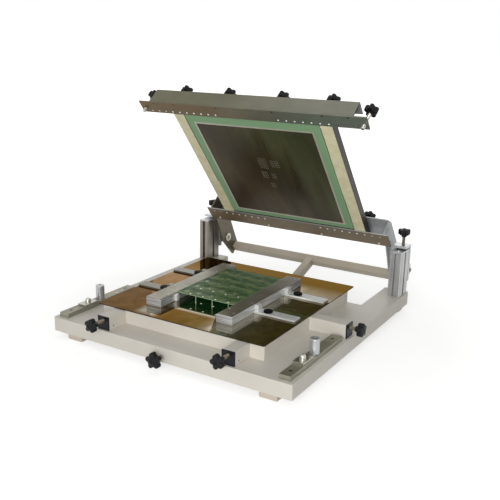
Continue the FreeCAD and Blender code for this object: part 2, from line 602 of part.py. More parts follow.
# Cross slide under the table: rails, a plate that moves front to back, and a plate that
# moves side to side on its ribs and carries the turntable's spigot.
def make_cross_slide():
    rails = []
    for side in (-1, 1):
        x = "%d * slide_rail_spread - slide_rail_width / 2" % side
        rails.append(box("slide_rail_%d" % (side + 1), x, "slide_rail_front", "base_height",
                         "slide_rail_width", "slide_rail_back - slide_rail_front",
                         "slide_rail_height"))
    node("slide_rails", "base", *rails)

    depth = "y_plate_back - y_plate_front"
    slab = box("y_slab", "-y_plate_width / 2", "y_plate_front", "y_plate_under", "y_plate_width",
               depth, "y_plate_thick")
    ribs = [
        box("y_rib_" + word, "table_middle_x - rib_length / 2", y, "y_plate_top", "rib_length",
            "rib_width", "rib_height")
        for word, y in (("front", "rib_front"), ("back", "rib_back"))
    ]
    lug_width = "rod_dia + 2 * nut_wall"
    lug = box("y_lug", "-block_spread - rod_dia / 2 - nut_wall", "y_plate_front + nut_setback",
              "y_plate_top", lug_width, "nut_length", "rod_z + nut_wall + rod_dia / 2"
              " - y_plate_top - lug_drop")
    grooves = [
        box("y_groove_%d" % (side + 1),
            "%d * slide_rail_spread - slide_rail_width / 2 - nut_clearance" % side,
            "y_plate_front - spare", "y_plate_under - spare",
            "slide_rail_width + 2 * nut_clearance", depth + " + 2 * spare",
            "slide_rail_height + spare")
        for side in (-1, 1)
    ]
    bore = rod("y_bore", "bore_dia", "nut_length + 2 * spare", "-block_spread",
               "y_plate_front + nut_setback - spare", "rod_z", "back")
    node("y_slide_plate", "base", cut("y_plate", fuse("y_whole", slab, lug, *ribs), bore,
                                      *grooves))

    x_left = "table_middle_x - x_plate_width / 2"
    x_front = "table_middle_y - x_plate_depth / 2"
    x_slab = box("x_slab", x_left, x_front, "x_plate_under", "x_plate_width", "x_plate_depth",
                 "x_plate_thick")
    spigot = rod("x_spigot", "spigot_dia", "spigot_height", "table_middle_x", "table_middle_y",
                 "x_plate_top")
    arm = box("x_arm", "x_plate_right", "side_y - arm_width / 2", "arm_under", "arm_reach",
              "arm_width", "arm_thick")
    x_grooves = [
        box("x_groove_" + word, x_left + " - spare", y + " - nut_clearance",
            "x_plate_under - spare", "x_plate_width + 2 * spare",
            "rib_width + 2 * nut_clearance", "rib_height + spare")
        for word, y in (("front", "rib_front"), ("back", "rib_back"))
    ]
    arm_slot = box("x_arm_slot", "x_nut_middle - tongue_width / 2 - rod_fit",
                   "side_y - arm_slot_length / 2", "arm_under - spare",
                   "tongue_width + 2 * rod_fit", "arm_slot_length", "arm_thick + 2 * spare")
    node("x_slide_plate", "base", cut("x_plate", fuse("x_whole", x_slab, spigot, arm), arm_slot,
                                      *x_grooves))

    arm_top_z = "arm_under + arm_thick"
    x_nut_body = box("x_nut_body", "x_nut_middle - x_nut_thick / 2", "side_y - x_nut_width / 2",
                     arm_top_z + " + flat_gap", "x_nut_thick", "x_nut_width",
                     "rod_z + rod_dia / 2 + x_nut_rise - (%s + flat_gap)" % arm_top_z)
    tongue = box("x_nut_tongue", "x_nut_middle - tongue_width / 2", "side_y - tongue_width / 2",
                 arm_top_z + " + flat_gap - tongue_depth", "tongue_width", "tongue_width",
                 "tongue_depth")
    x_bore = rod("x_nut_bore", "bore_dia", "x_nut_thick + 2 * spare",
                 "x_nut_middle - x_nut_thick / 2 - spare", "side_y", "rod_z", "right")
    node("x_nut", "base", cut("x_nut_cut", fuse("x_nut_whole", x_nut_body, tongue), x_bore))

    theta_body = box("theta_body", "block_spread - drive_slot_length / 2", "theta_nut_y",
                     "y_plate_top + flat_gap", "drive_slot_length", "nut_length",
                     "theta_nut_top - y_plate_top - flat_gap")
    theta_slot = box("theta_slot", "block_spread - drive_slot_length / 2 - spare",
                     "drive_pin_y - drive_pin_dia / 2 - drive_slot_slack",
                     "theta_nut_top - drive_slot_depth", "drive_slot_length + 2 * spare",
                     "drive_pin_dia + 2 * drive_slot_slack", "drive_slot_depth + spare")
    theta_bore = rod("theta_bore", "bore_dia", "nut_length + 2 * spare", "block_spread",
                     "theta_nut_y - spare", "rod_z", "back")
    node("theta_nut", "base", cut("theta_cut", theta_body, theta_slot, theta_bore))


# Tool plate with the drive pin welded under it, on its turntable ring.
def make_table():
    half = "plate_side / 2"
    left, right = "table_middle_x - " + half, "table_middle_x + " + half
    front, back = "table_middle_y - " + half, "table_middle_y + " + half
    plate = prism("tool_plate_blank", "XY_Plane",
                  [(left, front), (right, front), (right, back), (left, back)],
                  "plate_under", "plate_thick")
    rounded(plate, "plate_corner", vertical)
    pin = rod("drive_pin", "drive_pin_dia", "drive_pin_depth", "table_middle_x + drive_pin_offset",
              "drive_pin_y", "plate_under - drive_pin_depth")
    node("tool_plate", "base", fuse("tool_plate_pinned", plate, pin))
    ring = cut(
        "hub_ring",
        rod("hub_outer", "turntable_dia", "plate_under - hub_under", "table_middle_x",
            "table_middle_y", "hub_under"),
        rod("hub_bore", "spigot_dia + 2 * rod_fit", "plate_under - hub_under + 2 * spare",
            "table_middle_x", "table_middle_y", "hub_under - spare"))
    node("turntable_hub", "base", ring)


# Board rails: ledged aluminium bars with low arms, upright tabs and round magnets.
def make_rails():
    top, low, step = "rail_top", "rail_under", "board_under - ledge_gap"
    for side, inner, outer, arm_length in (
            ("right", "right_rail_inner", "right_rail_outer", "rail_arm_length"),
            ("left", "left_rail_inner", "left_rail_outer", "left_arm_length")):
        sign = "+" if side == "right" else "-"
        bar = prism(side + "_bar", "XZ_Plane", [
            (inner, low), (outer, low), (outer, top),
            ("%s %s ledge" % (inner, sign), top), ("%s %s ledge" % (inner, sign), step),
            (inner, step),
        ], "-(rail_front + rail_length)", "rail_length")
        node(side + "_board_rail", "base", bar)
        brackets, magnets = [], []
        for word, arm_y, setback in (("front", "rail_arm_front", "tab_setback"),
                                     ("back", "rail_arm_back", "tab_back_setback")):
            name = "%s_%s" % (side, word)
            start = outer if side == "right" else "%s - %s" % (outer, arm_length)
            tab_start = outer if side == "right" else outer + " - tab_thick"
            arm = box(name + "_arm", start, arm_y, low, arm_length, "rail_arm_width",
                      "rail_arm_thick")
            tab = box(name + "_tab", tab_start, "%s + %s" % (arm_y, setback), low, "tab_thick",
                      "tab_width", "rail_height")
            brackets.append(fuse(name + "_bracket", arm, tab))
            magnets.append(rod(name + "_magnet", "magnet_dia", "magnet_height",
                               "%s %s magnet_offset" % (outer, sign),
                               arm_y + " + rail_arm_width / 2", "arm_top"))
        node(side + "_rail_arms", "base", *brackets)
        node(side + "_rail_magnets", "base", *magnets)
    board = box("board_blank", "board_left", "board_front", "board_under", "board_width",
                "board_length", "board_thick")
    node("pcb_panel", "base", board)


# Star grip: a head with five blunt lobes, and a round neck under it. Each lobe's tip spans
# an angle to either side of its middle, and a valley lies halfway to the next.
def star_grip(name, dia):
    corners = []
    for lobe in range(int(sheet.get("lobe_count"))):
        for past, share in (("-lobe_half", "1"), ("lobe_half", "1"),
                            ("180 / lobe_count", "lobe_valley")):
            turn = "%d * 360 / lobe_count + %s" % (lobe, past)
            reach = "%s / 2 * %s" % (dia, share)
            corners.append(("%s * cos(%s)" % (reach, turn), "%s * sin(%s)" % (reach, turn)))
    body = prism(name, "XY_Plane", corners, "neck_length", "head_height")
    neck = rod(name + "_neck", "neck_dia", "neck_length", "0", "0", "0")
    return fuse(name + "_whole", body, neck)


# A grip set on a stud. The stud runs down from the grip's seat for the given length.
def grip_at(name, pattern, x, y, z, towards):
    made = doc.addObject("App::Link", name + "_grip")
    made.setLink(pattern)
    made.Placement = FreeCAD.Placement(FreeCAD.Vector(), turns[towards])
    return at(made, x, y, z)


def screw(name, carrier, pattern, dia, length, x, y, z, towards="up"):
    grip = grip_at(name, pattern, x, y, z, towards)
    if towards == "up":
        stud = rod(name + "_stud", dia, "%s + neck_length" % length, x, y, "%s - (%s)" % (z, length))
    elif towards == "front":
        stud = rod(name + "_stud", dia, "%s + neck_length" % length, x,
                   "%s + %s" % (y, length), z, "front")
    else:
        stud = rod(name + "_stud", dia, "%s + neck_length" % length, "%s - (%s)" % (x, length),
                   y, z, "right")
    node(name, carrier, fuse(name + "_whole", grip, stud))


def make_screws():
    small = star_grip("star_grip", "knob_dia")
    large = star_grip("big_star_grip", "big_knob_dia")
    front_seat = "-front_knob_seat"
    nut_end = "(y_plate_front + nut_setback + nut_length + rod_past_nut)"
    screw("y_adjuster", "base", small, "rod_dia", "front_knob_seat + " + nut_end,
          "-block_spread", front_seat, "rod_z", "front")
    screw("theta_adjuster", "base", small, "rod_dia", "front_knob_seat + " + nut_end,
          "block_spread", front_seat, "rod_z", "front")
    screw("x_adjuster", "base", small, "rod_dia",
          "side_knob_seat - x_nut_middle + x_nut_thick / 2 + rod_past_nut", "side_knob_seat",
          "side_y", "rod_z", "right")
    screw("lock_knob", "base", large, "rod_dia", "lock_rod_length", "0", "-lock_knob_seat",
          "lock_height", "front")
    for side, sign in (("right", ""), ("left", "-")):
        screw(side + "_column_screw", "base", small, "rod_dia",
              "column_knob_seat - cap_top - screw_tip_gap", sign + "column_middle",
              "column_screw_y", "column_knob_seat")
    for word, sign in (("right", ""), ("left", "-")):
        for place_word, x in (("outer", "clamp_outer"), ("inner", "clamp_inner")):
            screw("front_clamp_%s_%s" % (word, place_word), "lift", small, "rod_dia",
                  "front_clamp_seat - frame_top - clamp_tip_gap", sign + x,
                  "-front_clamp_s",
                  "front_clamp_seat")
        screw("rear_clamp_" + word, "lift", small, "rod_dia",
              "rear_clamp_seat - frame_top - clamp_tip_gap", sign + "clamp_outer",
              "-rear_clamp_s", "rear_clamp_seat")
        seat = sign + "post_x"
        bored = cut(
            word + "_end_knob_cut",
            grip_at(word + "_end_knob", small, seat, "-end_screw_s", "end_screw_seat", "up"),
            rod(word + "_end_knob_bore", "rod_dia + 2 * bore_fit", "end_screw_bury + spare",
                seat, "-end_screw_s", "end_screw_seat - spare"))
        node(word + "_end_knob", "lift", bored)
        stud = rod(word + "_end_stud", "rod_dia", "end_screw_seat + end_screw_bury"
                   " - flat_gap - end_tip", seat, "-end_screw_s", "end_tip")
        node(word + "_end_screw", "lift", stud)


# End plates: flat cheeks that turn on the hinge pins and carry the whole lift.
def make_lift_ends():
    cheek = prism("end_plate", "YZ_Plane", [
        ("-" + s, n) for s, n in (
            ("rear_lip_front", "lip_top"), ("rear_lip_front", "cheek_front_n"),
            ("cheek_shelf_s", "cheek_shelf_n"), ("cheek_slope_s", "cheek_shelf_n"),
            ("cheek_brow_s", "cheek_brow_n"), ("cheek_tail_s", "cheek_tail_n"),
            ("cheek_heel_s", "cheek_heel_n"), ("cheek_sole_s", "cheek_sole_n"),
            ("cheek_toe_s", "cheek_toe_n"), ("rear_wall", "lip_under"), ("rear_wall", "lip_top"))
    ], "end_plate_inner", "end_plate_thick")
    rounded(cheek, "end_corner", lambda edge: edge.BoundBox.XLength > 1
            and edge.BoundBox.YLength < 0.01 and abs(edge.BoundBox.ZMin) > 5)
    hole = rod("end_plate_hole", "bush_dia", "end_plate_thick + 2 * spare",
               "end_plate_inner - spare", "0", "0", "right")
    drilled = cut("end_plate_drilled", cheek, hole)
    node("right_end_plate", "lift", drilled)
    node("left_end_plate", "lift", mirrored("end_plate_mirror", drilled))

    barrel = rod("bush_barrel", "bush_dia", "bush_flange + end_plate_thick",
                 "end_plate_inner - bush_flange", "0", "0", "right")
    flange = rod("bush_flange_ring", "bush_flange_dia", "bush_flange",
                 "end_plate_inner - bush_flange", "0", "0", "right")
    bore = rod("bush_bore", "pin_dia + 2 * pin_fit", "bush_flange + end_plate_thick + 2 * spare",
               "end_plate_inner - bush_flange - spare", "0", "0", "right")
    bush = cut("hinge_bush", fuse("bush_whole", barrel, flange), bore)
    node("hinge_bushes", "lift", bush, mirrored("hinge_bush_mirror", bush))

    half = "end_plate_inner"
    outer = box("crossbar_outer", "-" + half, "-crossbar_s - tube_side / 2",
                "crossbar_n - tube_side / 2", "2 * " + half, "tube_side", "tube_side")
    inner = "tube_side - 2 * tube_wall"
    core = box("crossbar_core", "-%s - spare" % half, "-crossbar_s - tube_side / 2 + tube_wall",
               "crossbar_n - tube_side / 2 + tube_wall", "2 * %s + 2 * spare" % half, inner,
               inner)
    node("crossbar", "lift", cut("crossbar_tube", outer, core))

    # Lever arm: welded to the middle of the crossbar, with a cross pin for the spring.
    lean = FreeCAD.Rotation(FreeCAD.Vector(1, 0, 0), 1)
    bar = box("lever_outer", "-tube_side / 2", "0", "0", "tube_side", "tube_side",
              "lever_length")
    hollow = box("lever_core", "-tube_side / 2 + tube_wall", "tube_wall", "-spare", inner,
                 inner, "lever_length + 2 * spare")
    pin = rod("lever_pin", "eye_pin_dia", "eye_pin_length", "-eye_pin_length / 2",
              "tube_side / 2", "eye_margin", "right")
    lever = fuse("lever_whole", cut("lever_tube", bar, hollow), pin)
    lever.Placement.Rotation = lean
    lever.setExpression("Placement.Rotation.Angle", formula("-lever_angle"))
    reach_y = "lever_length * sin(lever_angle) + tube_side / 2 * cos(lever_angle)"
    reach_z = "lever_length * cos(lever_angle) - tube_side / 2 * sin(lever_angle)"
    at(lever, "0", "-crossbar_s - (%s)" % reach_y, "crossbar_n - (%s)" % reach_z)
    outer_again = box("lever_notch", "-tube_side", "-crossbar_s - tube_side / 2",
                      "crossbar_n - tube_side / 2", "2 * tube_side", "tube_side",
                      "tube_side + lever_length")
    node("lever_arm", "lift", cut("lever_fitted", lever, outer_again))


# Clamps for the stencil frame, folded from sheet: a lip under the frame, a wall and a flange
# above it that carries the clamp screws.
def make_clamps():
    rear_wall = box("rear_wall_sheet", "-end_plate_inner", "-rear_wall - clamp_sheet", "lip_top",
                    "2 * end_plate_inner", "clamp_sheet", "rear_flange_top - lip_top")
    rear_top = box("rear_top_sheet", "-end_plate_inner", "-rear_lip_front",
                   "rear_flange_top - clamp_sheet", "2 * end_plate_inner",
                   "rear_lip_front - rear_wall", "clamp_sheet")
    rear_lip = box("rear_lip_sheet", "-rear_lip_half", "-rear_lip_front", "lip_under",
                   "2 * rear_lip_half", "rear_lip_front - rear_wall", "clamp_sheet")
    bores = [
        rod("rear_clamp_bore_" + word, "rod_dia + 2 * clamp_fit", "clamp_sheet + 2 * spare",
            sign + "clamp_outer", "-rear_clamp_s", "rear_flange_top - clamp_sheet - spare")
        for word, sign in (("right", ""), ("left", "-"))
    ]
    node("rear_clamp_channel", "lift",
         cut("rear_channel", fuse("rear_whole", rear_wall, rear_top, rear_lip), *bores))

    front_wall = box("front_wall_sheet", "-front_channel_half", "-front_wall_front", "lip_top",
                     "2 * front_channel_half", "clamp_sheet", "front_channel_top - lip_top")
    front_top = box("front_top_sheet", "-front_channel_half", "-front_wall_front",
                    "front_channel_top - clamp_sheet", "2 * front_channel_half",
                    "front_wall_front - front_flange_back", "clamp_sheet")
    front_bores = []
    for word, sign in (("right", ""), ("left", "-")):
        for x in ("clamp_outer", "clamp_inner"):
            front_bores.append(rod("front_%s_%s_bore" % (x, word), "rod_dia + 2 * clamp_fit",
                                   "clamp_sheet + 2 * spare", sign + x, "-front_clamp_s",
                                   "front_channel_top - clamp_sheet - spare"))
    node("front_clamp_channel", "lift",
         cut("front_channel", fuse("front_whole", front_wall, front_top), *front_bores))

    lip = box("front_lip_sheet", "-front_lip_half", "-front_wall_front", "lip_under",
              "2 * front_lip_half", "front_wall_front - front_lip_back", "clamp_sheet")
    ends = [
        rod("front_lip_bore_" + word, "rod_dia + 2 * clamp_fit", "clamp_sheet + 2 * spare",
            sign + "post_x", "-end_screw_s", "lip_under - spare")
        for word, sign in (("right", ""), ("left", "-"))
    ]
    node("front_lip_bar", "lift", cut("front_lip", lip, *ends))


# A bar of the stencil frame: a rectangular tube cut to a mitre at both ends. Its outer side
# and its inner side run from one given corner to the next.
def mitred_bar(name, outer_start, outer_end, inner_end, inner_start):
    def towards(start, end, share):
        return tuple("%s + (%s - (%s)) * %s" % (a, b, a, share) for a, b in zip(start, end))
    share = "frame_wall / frame_bar"
    rest = "(1 - frame_wall / frame_bar)"
    whole = prism(name, "XY_Plane", [outer_start, outer_end, inner_end, inner_start],
                  "frame_under", "frame_height")
    room = prism(name + "_room", "XY_Plane", [
        towards(outer_start, inner_start, share), towards(outer_end, inner_end, share),
        towards(outer_end, inner_end, rest), towards(outer_start, inner_start, rest),
    ], "frame_under + frame_wall", "frame_height - 2 * frame_wall")
    return cut(name + "_tube", whole, room)


# Stencil: a tube frame, mesh stretched inside it, and the metal foil under the mesh.
def make_stencil():
    side = "frame_side / 2"
    outer = [("-" + side, "-frame_back"), (side, "-frame_back"), (side, "-frame_front"),
             ("-" + side, "-frame_front")]
    inner = [("-window_half", "-window_back"), ("window_half", "-window_back"),
             ("window_half", "-window_front"), ("-window_half", "-window_front")]
    bars = [
        mitred_bar("frame_bar_" + word, outer[k], outer[(k + 1) % 4], inner[(k + 1) % 4],
                   inner[k])
        for k, word in enumerate(("rear", "right", "front", "left"))
    ]
    node("stencil_frame", "lift", *bars)
    mesh = box("mesh_sheet", "-window_half", "-window_front", "mesh_under", "2 * window_half",
               "window_front - window_back", "mesh_thick")
    opening = box("mesh_opening", "-foil_half + mesh_window_overlap",
                  "-foil_front + mesh_window_overlap", "mesh_under - spare",
                  "2 * foil_half - 2 * mesh_window_overlap",
                  "foil_front - foil_back - 2 * mesh_window_overlap", "mesh_thick + 2 * spare")
    node("stencil_mesh", "lift", cut("mesh_ring", mesh, opening))
    foil = box("foil_sheet", "-foil_half", "-foil_front", "frame_under", "2 * foil_half",
               "foil_front - foil_back", "foil_thick")
    node("stencil_foil", "lift", foil)


# Balance spring: from the lever's cross pin into the tray, to a bracket under its top.
def make_balance():
    top = "base_height - base_sheet"
    flange = box("anchor_plate", "-anchor_width / 2", "anchor_y + anchor_thick - anchor_flange",
                 top + " - anchor_thick", "anchor_width", "anchor_flange", "anchor_thick")
    tab = box("anchor_tab", "-anchor_width / 2", "anchor_y", top + " - anchor_drop",
              "anchor_width", "anchor_thick", "anchor_drop")
    eye = rod("anchor_eye_hole", "spring_wire + 2 * hook_fit", "anchor_thick + 2 * spare", "0",
              "anchor_y - spare", "eye_z", "back")
    node("spring_anchor", "base", cut("anchor", fuse("anchor_whole", flange, tab), eye))
    start = "anchor_y - hook_past"
    end = "(eye_y - eye_pin_dia / 2 - hook_fit)"
    length = "%s - hook_length - (%s) - hook_length" % (end, start)
    coil = rod("spring_coil", "spring_dia", length, "0", "%s + hook_length" % start,
               "eye_z", "back")
    core = rod("spring_core", "spring_dia - 2 * spring_wire", length + " - 2 * spring_wire",
               "0", "%s + hook_length + spring_wire" % start, "eye_z", "back")
    hooks = [
        rod("spring_hook_" + word, "spring_wire", "hook_length + spring_wire / 2", "0", y,
            "eye_z", "back")
        for word, y in (("front", start), ("rear", end + " - hook_length - spring_wire / 2"))
    ]
    node("balance_spring", "base", fuse("spring_whole", cut("spring_tube", coil, core), *hooks))


make_base()
make_table_box()
make_blocks()
make_stops()
make_columns()
make_carriages()
make_cross_slide()
make_table()
make_rails()
make_screws()
make_lift_ends()
make_clamps()
make_stencil()
make_balance()
doc.recompute()

failed = [item.Label for item in doc.Objects
          if "Invalid" in item.State or "Error" in item.State]
for made in nodes:
    if made.Shape.isNull() or not made.Shape.isValid() or not made.Shape.Solids:
        failed.append(made.Label)
if failed:
    raise RuntimeError("not built: " + ", ".join(failed))

os.makedirs("parts", exist_ok=True)
whole = Part.makeCompound([made.Shape for made in nodes]).BoundBox
for made in nodes:
    made.Shape.exportStep("parts/%s.step" % made.Label)
print("%d pieces, x %.1f..%.1f, y %.1f..%.1f, z %.1f..%.1f" % (
    len(nodes), whole.XMin, whole.XMax, whole.YMin, whole.YMax, whole.ZMin, whole.ZMax))
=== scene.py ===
import json
import math
import random

import bmesh
import bpy
from mathutils import Matrix, Vector


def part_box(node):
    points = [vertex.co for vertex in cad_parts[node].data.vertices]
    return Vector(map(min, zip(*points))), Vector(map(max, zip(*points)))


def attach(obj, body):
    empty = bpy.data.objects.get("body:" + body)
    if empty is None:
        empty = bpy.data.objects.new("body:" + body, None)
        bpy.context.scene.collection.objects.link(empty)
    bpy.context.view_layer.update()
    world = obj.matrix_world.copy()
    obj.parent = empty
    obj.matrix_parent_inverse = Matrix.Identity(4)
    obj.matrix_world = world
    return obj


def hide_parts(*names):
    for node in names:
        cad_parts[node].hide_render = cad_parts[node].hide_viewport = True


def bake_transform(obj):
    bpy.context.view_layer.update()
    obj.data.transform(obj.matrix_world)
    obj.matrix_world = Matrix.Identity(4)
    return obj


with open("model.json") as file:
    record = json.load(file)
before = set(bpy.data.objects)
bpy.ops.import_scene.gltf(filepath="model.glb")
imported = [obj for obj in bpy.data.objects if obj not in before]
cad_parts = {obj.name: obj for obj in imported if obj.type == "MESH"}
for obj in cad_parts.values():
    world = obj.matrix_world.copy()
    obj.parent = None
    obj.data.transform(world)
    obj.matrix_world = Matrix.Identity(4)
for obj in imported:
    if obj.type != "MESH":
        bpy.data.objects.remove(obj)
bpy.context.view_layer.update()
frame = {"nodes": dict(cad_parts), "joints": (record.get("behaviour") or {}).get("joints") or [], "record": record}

# Manual stencil printer. Metres, x right, y back, z up, standing on the floor at z 0.
joints = {joint["name"]: joint for joint in frame["joints"]}
bodyOf = {
    node: body
    for body, members in frame["record"]["behaviour"]["bodies"].items()
    for node in members
}
mm = 0.001


# Places: the lift frame's s runs forward from the hinge pin along the open holder and n stands
# up from it; the machine's x, y and z start at the base tray's middle and front and the floor

foilMesh = frame["nodes"]["stencil_foil"].data
foilFace = max(foilMesh.polygons, key=lambda face: face.area)
clampAxis = foilFace.normal * (1 if foilFace.normal.z > 0 else -1)
clampAxis.x = 0
clampAxis.normalize()
pinLow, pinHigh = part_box("hinge_pins")
liftPivot = Vector((0, (pinLow.y + pinHigh.y) / 2, (pinLow.z + pinHigh.z) / 2))
liftForward = Vector((0, -clampAxis.z, clampAxis.y))
baseLow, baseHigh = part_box("base_pan")
middleX = (baseLow.x + baseHigh.x) / 2
liftTurn = Matrix((Vector((1, 0, 0)), -liftForward, clampAxis)).transposed().to_4x4()
liftPlace = Matrix.Translation(Vector((middleX, liftPivot.y, liftPivot.z))) @ liftTurn


def liftSpot(x, s, n):
    return liftPlace @ Vector((x * mm, -s * mm, n * mm))


def machineSpot(x, y, z):
    return Vector((middleX + x * mm, baseLow.y + y * mm, z * mm))


def machineBox(node):
    # the node's low and high corner in the machine's millimetres
    return [(corner - machineSpot(0, 0, 0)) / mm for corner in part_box(node)]


# Colours and nodes

def linear(hexText):
    # sRGB hex to the linear values that Blender's shaders take
    channels = [int(hexText[i:i + 2], 16) / 255 for i in (1, 3, 5)]
    return [c / 12.92 if c <= 0.04045 else ((c + 0.055) / 1.055) ** 2.4 for c in channels] + [1.0]


def pick(sockets, key=None):
    # by number, or the first one in use, with that name where one is given
    if isinstance(key, int):
        return sockets[key]
    return next(one for one in sockets if one.enabled and key in (None, one.name))


def outputOf(source):
    # a socket, or a node that stands for its first output in use
    return pick(source.outputs) if hasattr(source, "outputs") else source


def fill(node, settings):
    # the stops of a colour ramp, a node's own properties, or the values of its sockets
    for name, value in settings.items():
        if name == "stops":
            band = node.color_ramp.elements
            while len(band) < len(value):
                band.new(0.5)
            for stop, (position, tone) in zip(band, value):
                stop.position = position
                stop.color = linear(tone) if isinstance(tone, str) else (tone,) * 3 + (1,)
        elif isinstance(name, str) and hasattr(node, name):
            setattr(node, name, value)
        else:
            socket = pick(node.inputs, name)
            socket.default_value = linear(value) if isinstance(value, str) else value


def addNode(tree, kind, settings=None, links=None):
    # one node with its settings and what feeds it; its kind goes without the tree's own prefix
    made = tree.nodes.new(kind if "Node" in kind else tree.bl_idname.replace("Tree", kind))
    fill(made, settings or {})
    for name, source in (links or {}).items():
        tree.links.new(outputOf(source), pick(made.inputs, name))
    return made


def newMaterial(name, settings):
    # a material with its shader set, its tree and the piece's Object coordinates
    made = bpy.data.materials.new(name)
    made.use_nodes = True
    fill(made.node_tree.nodes["Principled BSDF"], settings)
    place = addNode(made.node_tree, "TexCoord").outputs["Object"]
    return made, made.node_tree, place


def feedShader(made, feeds, height=None, depth=0.0, strength=0.5):
    # joins what a material has built to its shader; a height makes a bump, deep in millimetres
    tree = made.node_tree
    for name, source in feeds.items():
        tree.links.new(outputOf(source), tree.nodes["Principled BSDF"].inputs[name])
    if height is not None:
        relief = addNode(tree, "Bump", {"Strength": strength, "Distance": depth * mm},
                         {"Height": height})
        tree.links.new(outputOf(relief), tree.nodes["Principled BSDF"].inputs["Normal"])
    return made


def shareAlong(tree, source, axis, start, end):
    # 0 to 1 as one part of a place or a normal goes from start to end
    parts = addNode(tree, "SeparateXYZ", links={"Vector": source}).outputs
    return addNode(tree, "MapRange", {"From Min": start, "From Max": end}, {"Value": parts[axis]})


def strayed(tree, share, noise, width):
    # a share that a noise moves by up to half the width each way
    drift = addNode(tree, "Math", {"operation": "MULTIPLY_ADD", 1: width, 2: -width / 2}, {0: noise})
    return addNode(tree, "Math", {"operation": "ADD"}, {0: share, 1: drift})


# Materials

creamPaint = {
    # powder coat on folded steel: warm cream, soft sheen, faint orange peel
    # the link colour is a darker copy of the same cream for the crossbar and lever: painted shade
    "colour": ("#D3CDC2", "#DAD5CB"), "linkColour": ("#B9AF9C", "#C1B8A6"),
    "roughness": 0.42, "gloss": 0.45, "cloud": (9.0, 3.0), "grain": (1 / (2.2 * mm), 1.5),
    "depth": 0.12,
}
maskingTape = {
    # crepe paper with fine wrinkles
    "colour": ("#DAD2AC", "#E6DFBE"), "oldColour": ("#D2CBA2", "#DED8B4"),
    "roughness": 0.68, "gloss": 0.5, "cloud": (60.0, 5.0), "grain": (700.0, 3.0), "depth": 0.12,
}


def makeCoat(name, coat, colours):
    # a matt or satin skin whose tint drifts slowly, with a fine even grain
    made, tree, place = newMaterial(name, {
        "Roughness": coat["roughness"], "Specular IOR Level": coat["gloss"]})
    cloud, grain = (addNode(tree, "TexNoise", {"Scale": scale, "Detail": detail},
                            {"Vector": place}) for scale, detail in (coat["cloud"], coat["grain"]))
    tint = addNode(tree, "ValToRGB", {
        "stops": [(0.35, colours[0]), (0.65, colours[1])]}, {"Fac": cloud})
    return feedShader(made, {"Base Color": tint}, grain, coat["depth"])


def drawnGrain(tree, place, scale, stretch, detail=4.0):
    # streaks that run along the axis with the small factor
    turned = addNode(tree, "Mapping", {"Scale": stretch}, {"Vector": place})
    return addNode(tree, "TexNoise", {"Scale": scale, "Detail": detail}, {"Vector": turned})


def finishDrawn(made, tint, streak, roughness, spread, depth=0.01, strength=0.6):
    # the streaks also show in the sheen and in the relief
    rough = addNode(made.node_tree, "ValToRGB", {
        "stops": [(0.3, roughness - spread), (0.7, roughness + spread)]}, {"Fac": streak})
    return feedShader(made, {"Base Color": tint, "Roughness": rough}, streak, depth, strength)


def makeMetal(name, low, high, roughness, grain, stretch, metallic=1.0):
    # metal with a drawn or milled grain, its size in millimetres
    made, tree, place = newMaterial(name, {"Metallic": metallic})
    streak = drawnGrain(tree, place, 1 / (grain * mm), stretch)
    cloud = addNode(tree, "TexNoise", {"Scale": 14.0, "Detail": 2.0}, {"Vector": place})
    both = addNode(tree, "Mix", {"Factor": 0.35}, {"A": streak, "B": cloud})
    tint = addNode(tree, "ValToRGB", {"stops": [(0.32, low), (0.68, high)]}, {"Fac": both})
    return finishDrawn(made, tint, streak, roughness, 0.03)


def makePlastic(name, colour, roughness, gloss=0.5, glow=0.0, grain=0.6, depth=0.03):
    # moulded plastic or rubber with a fine spark-eroded grain
    made, tree, place = newMaterial(name, {
        "Roughness": roughness, "Specular IOR Level": gloss,
        "Emission Color": colour, "Emission Strength": glow})
    speck = addNode(tree, "TexNoise", {"Scale": 1 / (grain * mm), "Detail": 2.0}, {"Vector": place})
    pale = [min(255, int(colour[i:i + 2], 16) + 8) for i in (1, 3, 5)]
    tint = addNode(tree, "ValToRGB", {
        "stops": [(0.3, colour), (0.75, "#%02X%02X%02X" % tuple(pale))]}, {"Fac": speck})
    return feedShader(made, {"Base Color": tint}, speck, depth)


mirrorPlate = {
    # polished stainless sheet, its colour painted with the room it mirrors: painted reflection, gold-brown at the
    # left, olive at the right and dark along the back; lighter patches beside the rails and under the board:
    # painted reflection; side faces dark: painted shade
    "tints": [(0.0, "#674D2E"), (0.16, "#6E502E"), (0.27, "#6A5034"), (0.4, "#4A3B2B"),
              (0.62, "#544A38"), (0.74, "#78735A"), (0.88, "#6C6440"), (1.0, "#5E5429")],
    "shine": [(0.0, 0.8), (0.2, 0.85), (0.3, 1.0), (0.62, 1.0), (0.74, 0.3), (1.0, 0.3)],
    "smudge": [(0.3, 0.5), (0.66, 1.0)], "roughness": [(0.35, 0.015), (0.75, 0.06)],
    # scale, detail and distortion of the waver in the painted reflection, of the smudges and of the smears in the
    # polish
    "noises": ((7.0, 4.0, 0.6), (21.0, 5.0, 1.2), (22.0, 3.0, 0.0)), "drift": 0.12,
    # the pale patch tint and full metallic brighten what the sheet mirrors there: painted reflection
    "mirroredPatchTint": "#A6A69E", "grazing": "#D6C6B3", "edge": "#24201C", "sideShadeTurn": (0.3, 0.8),
    # the back of the sheet turns dark over the far share: painted dark reflection
    "reach": 44.0, "soft": 9.0, "far": (0.66, 0.88), "backReflectionTint": "#362B1A",
}


def mirroredPatchZones():
    # where the sheet mirrors the rails' ends and sides and the board's underside: patches of painted reflection
    reach = mirrorPlate["reach"] * mm
    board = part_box("pcb_panel")
    left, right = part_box("left_board_rail"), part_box("right_board_rail")
    return [
        ((left[0].x + reach / 6, left[1].x + reach / 3), (left[0].y - reach, left[0].y)),
        ((right[0].x + reach / 6, right[1].x + reach / 2), (right[0].y - reach, right[1].y)),
        ((left[1].x, right[0].x), (board[0].y - reach, board[1].y)),
    ]


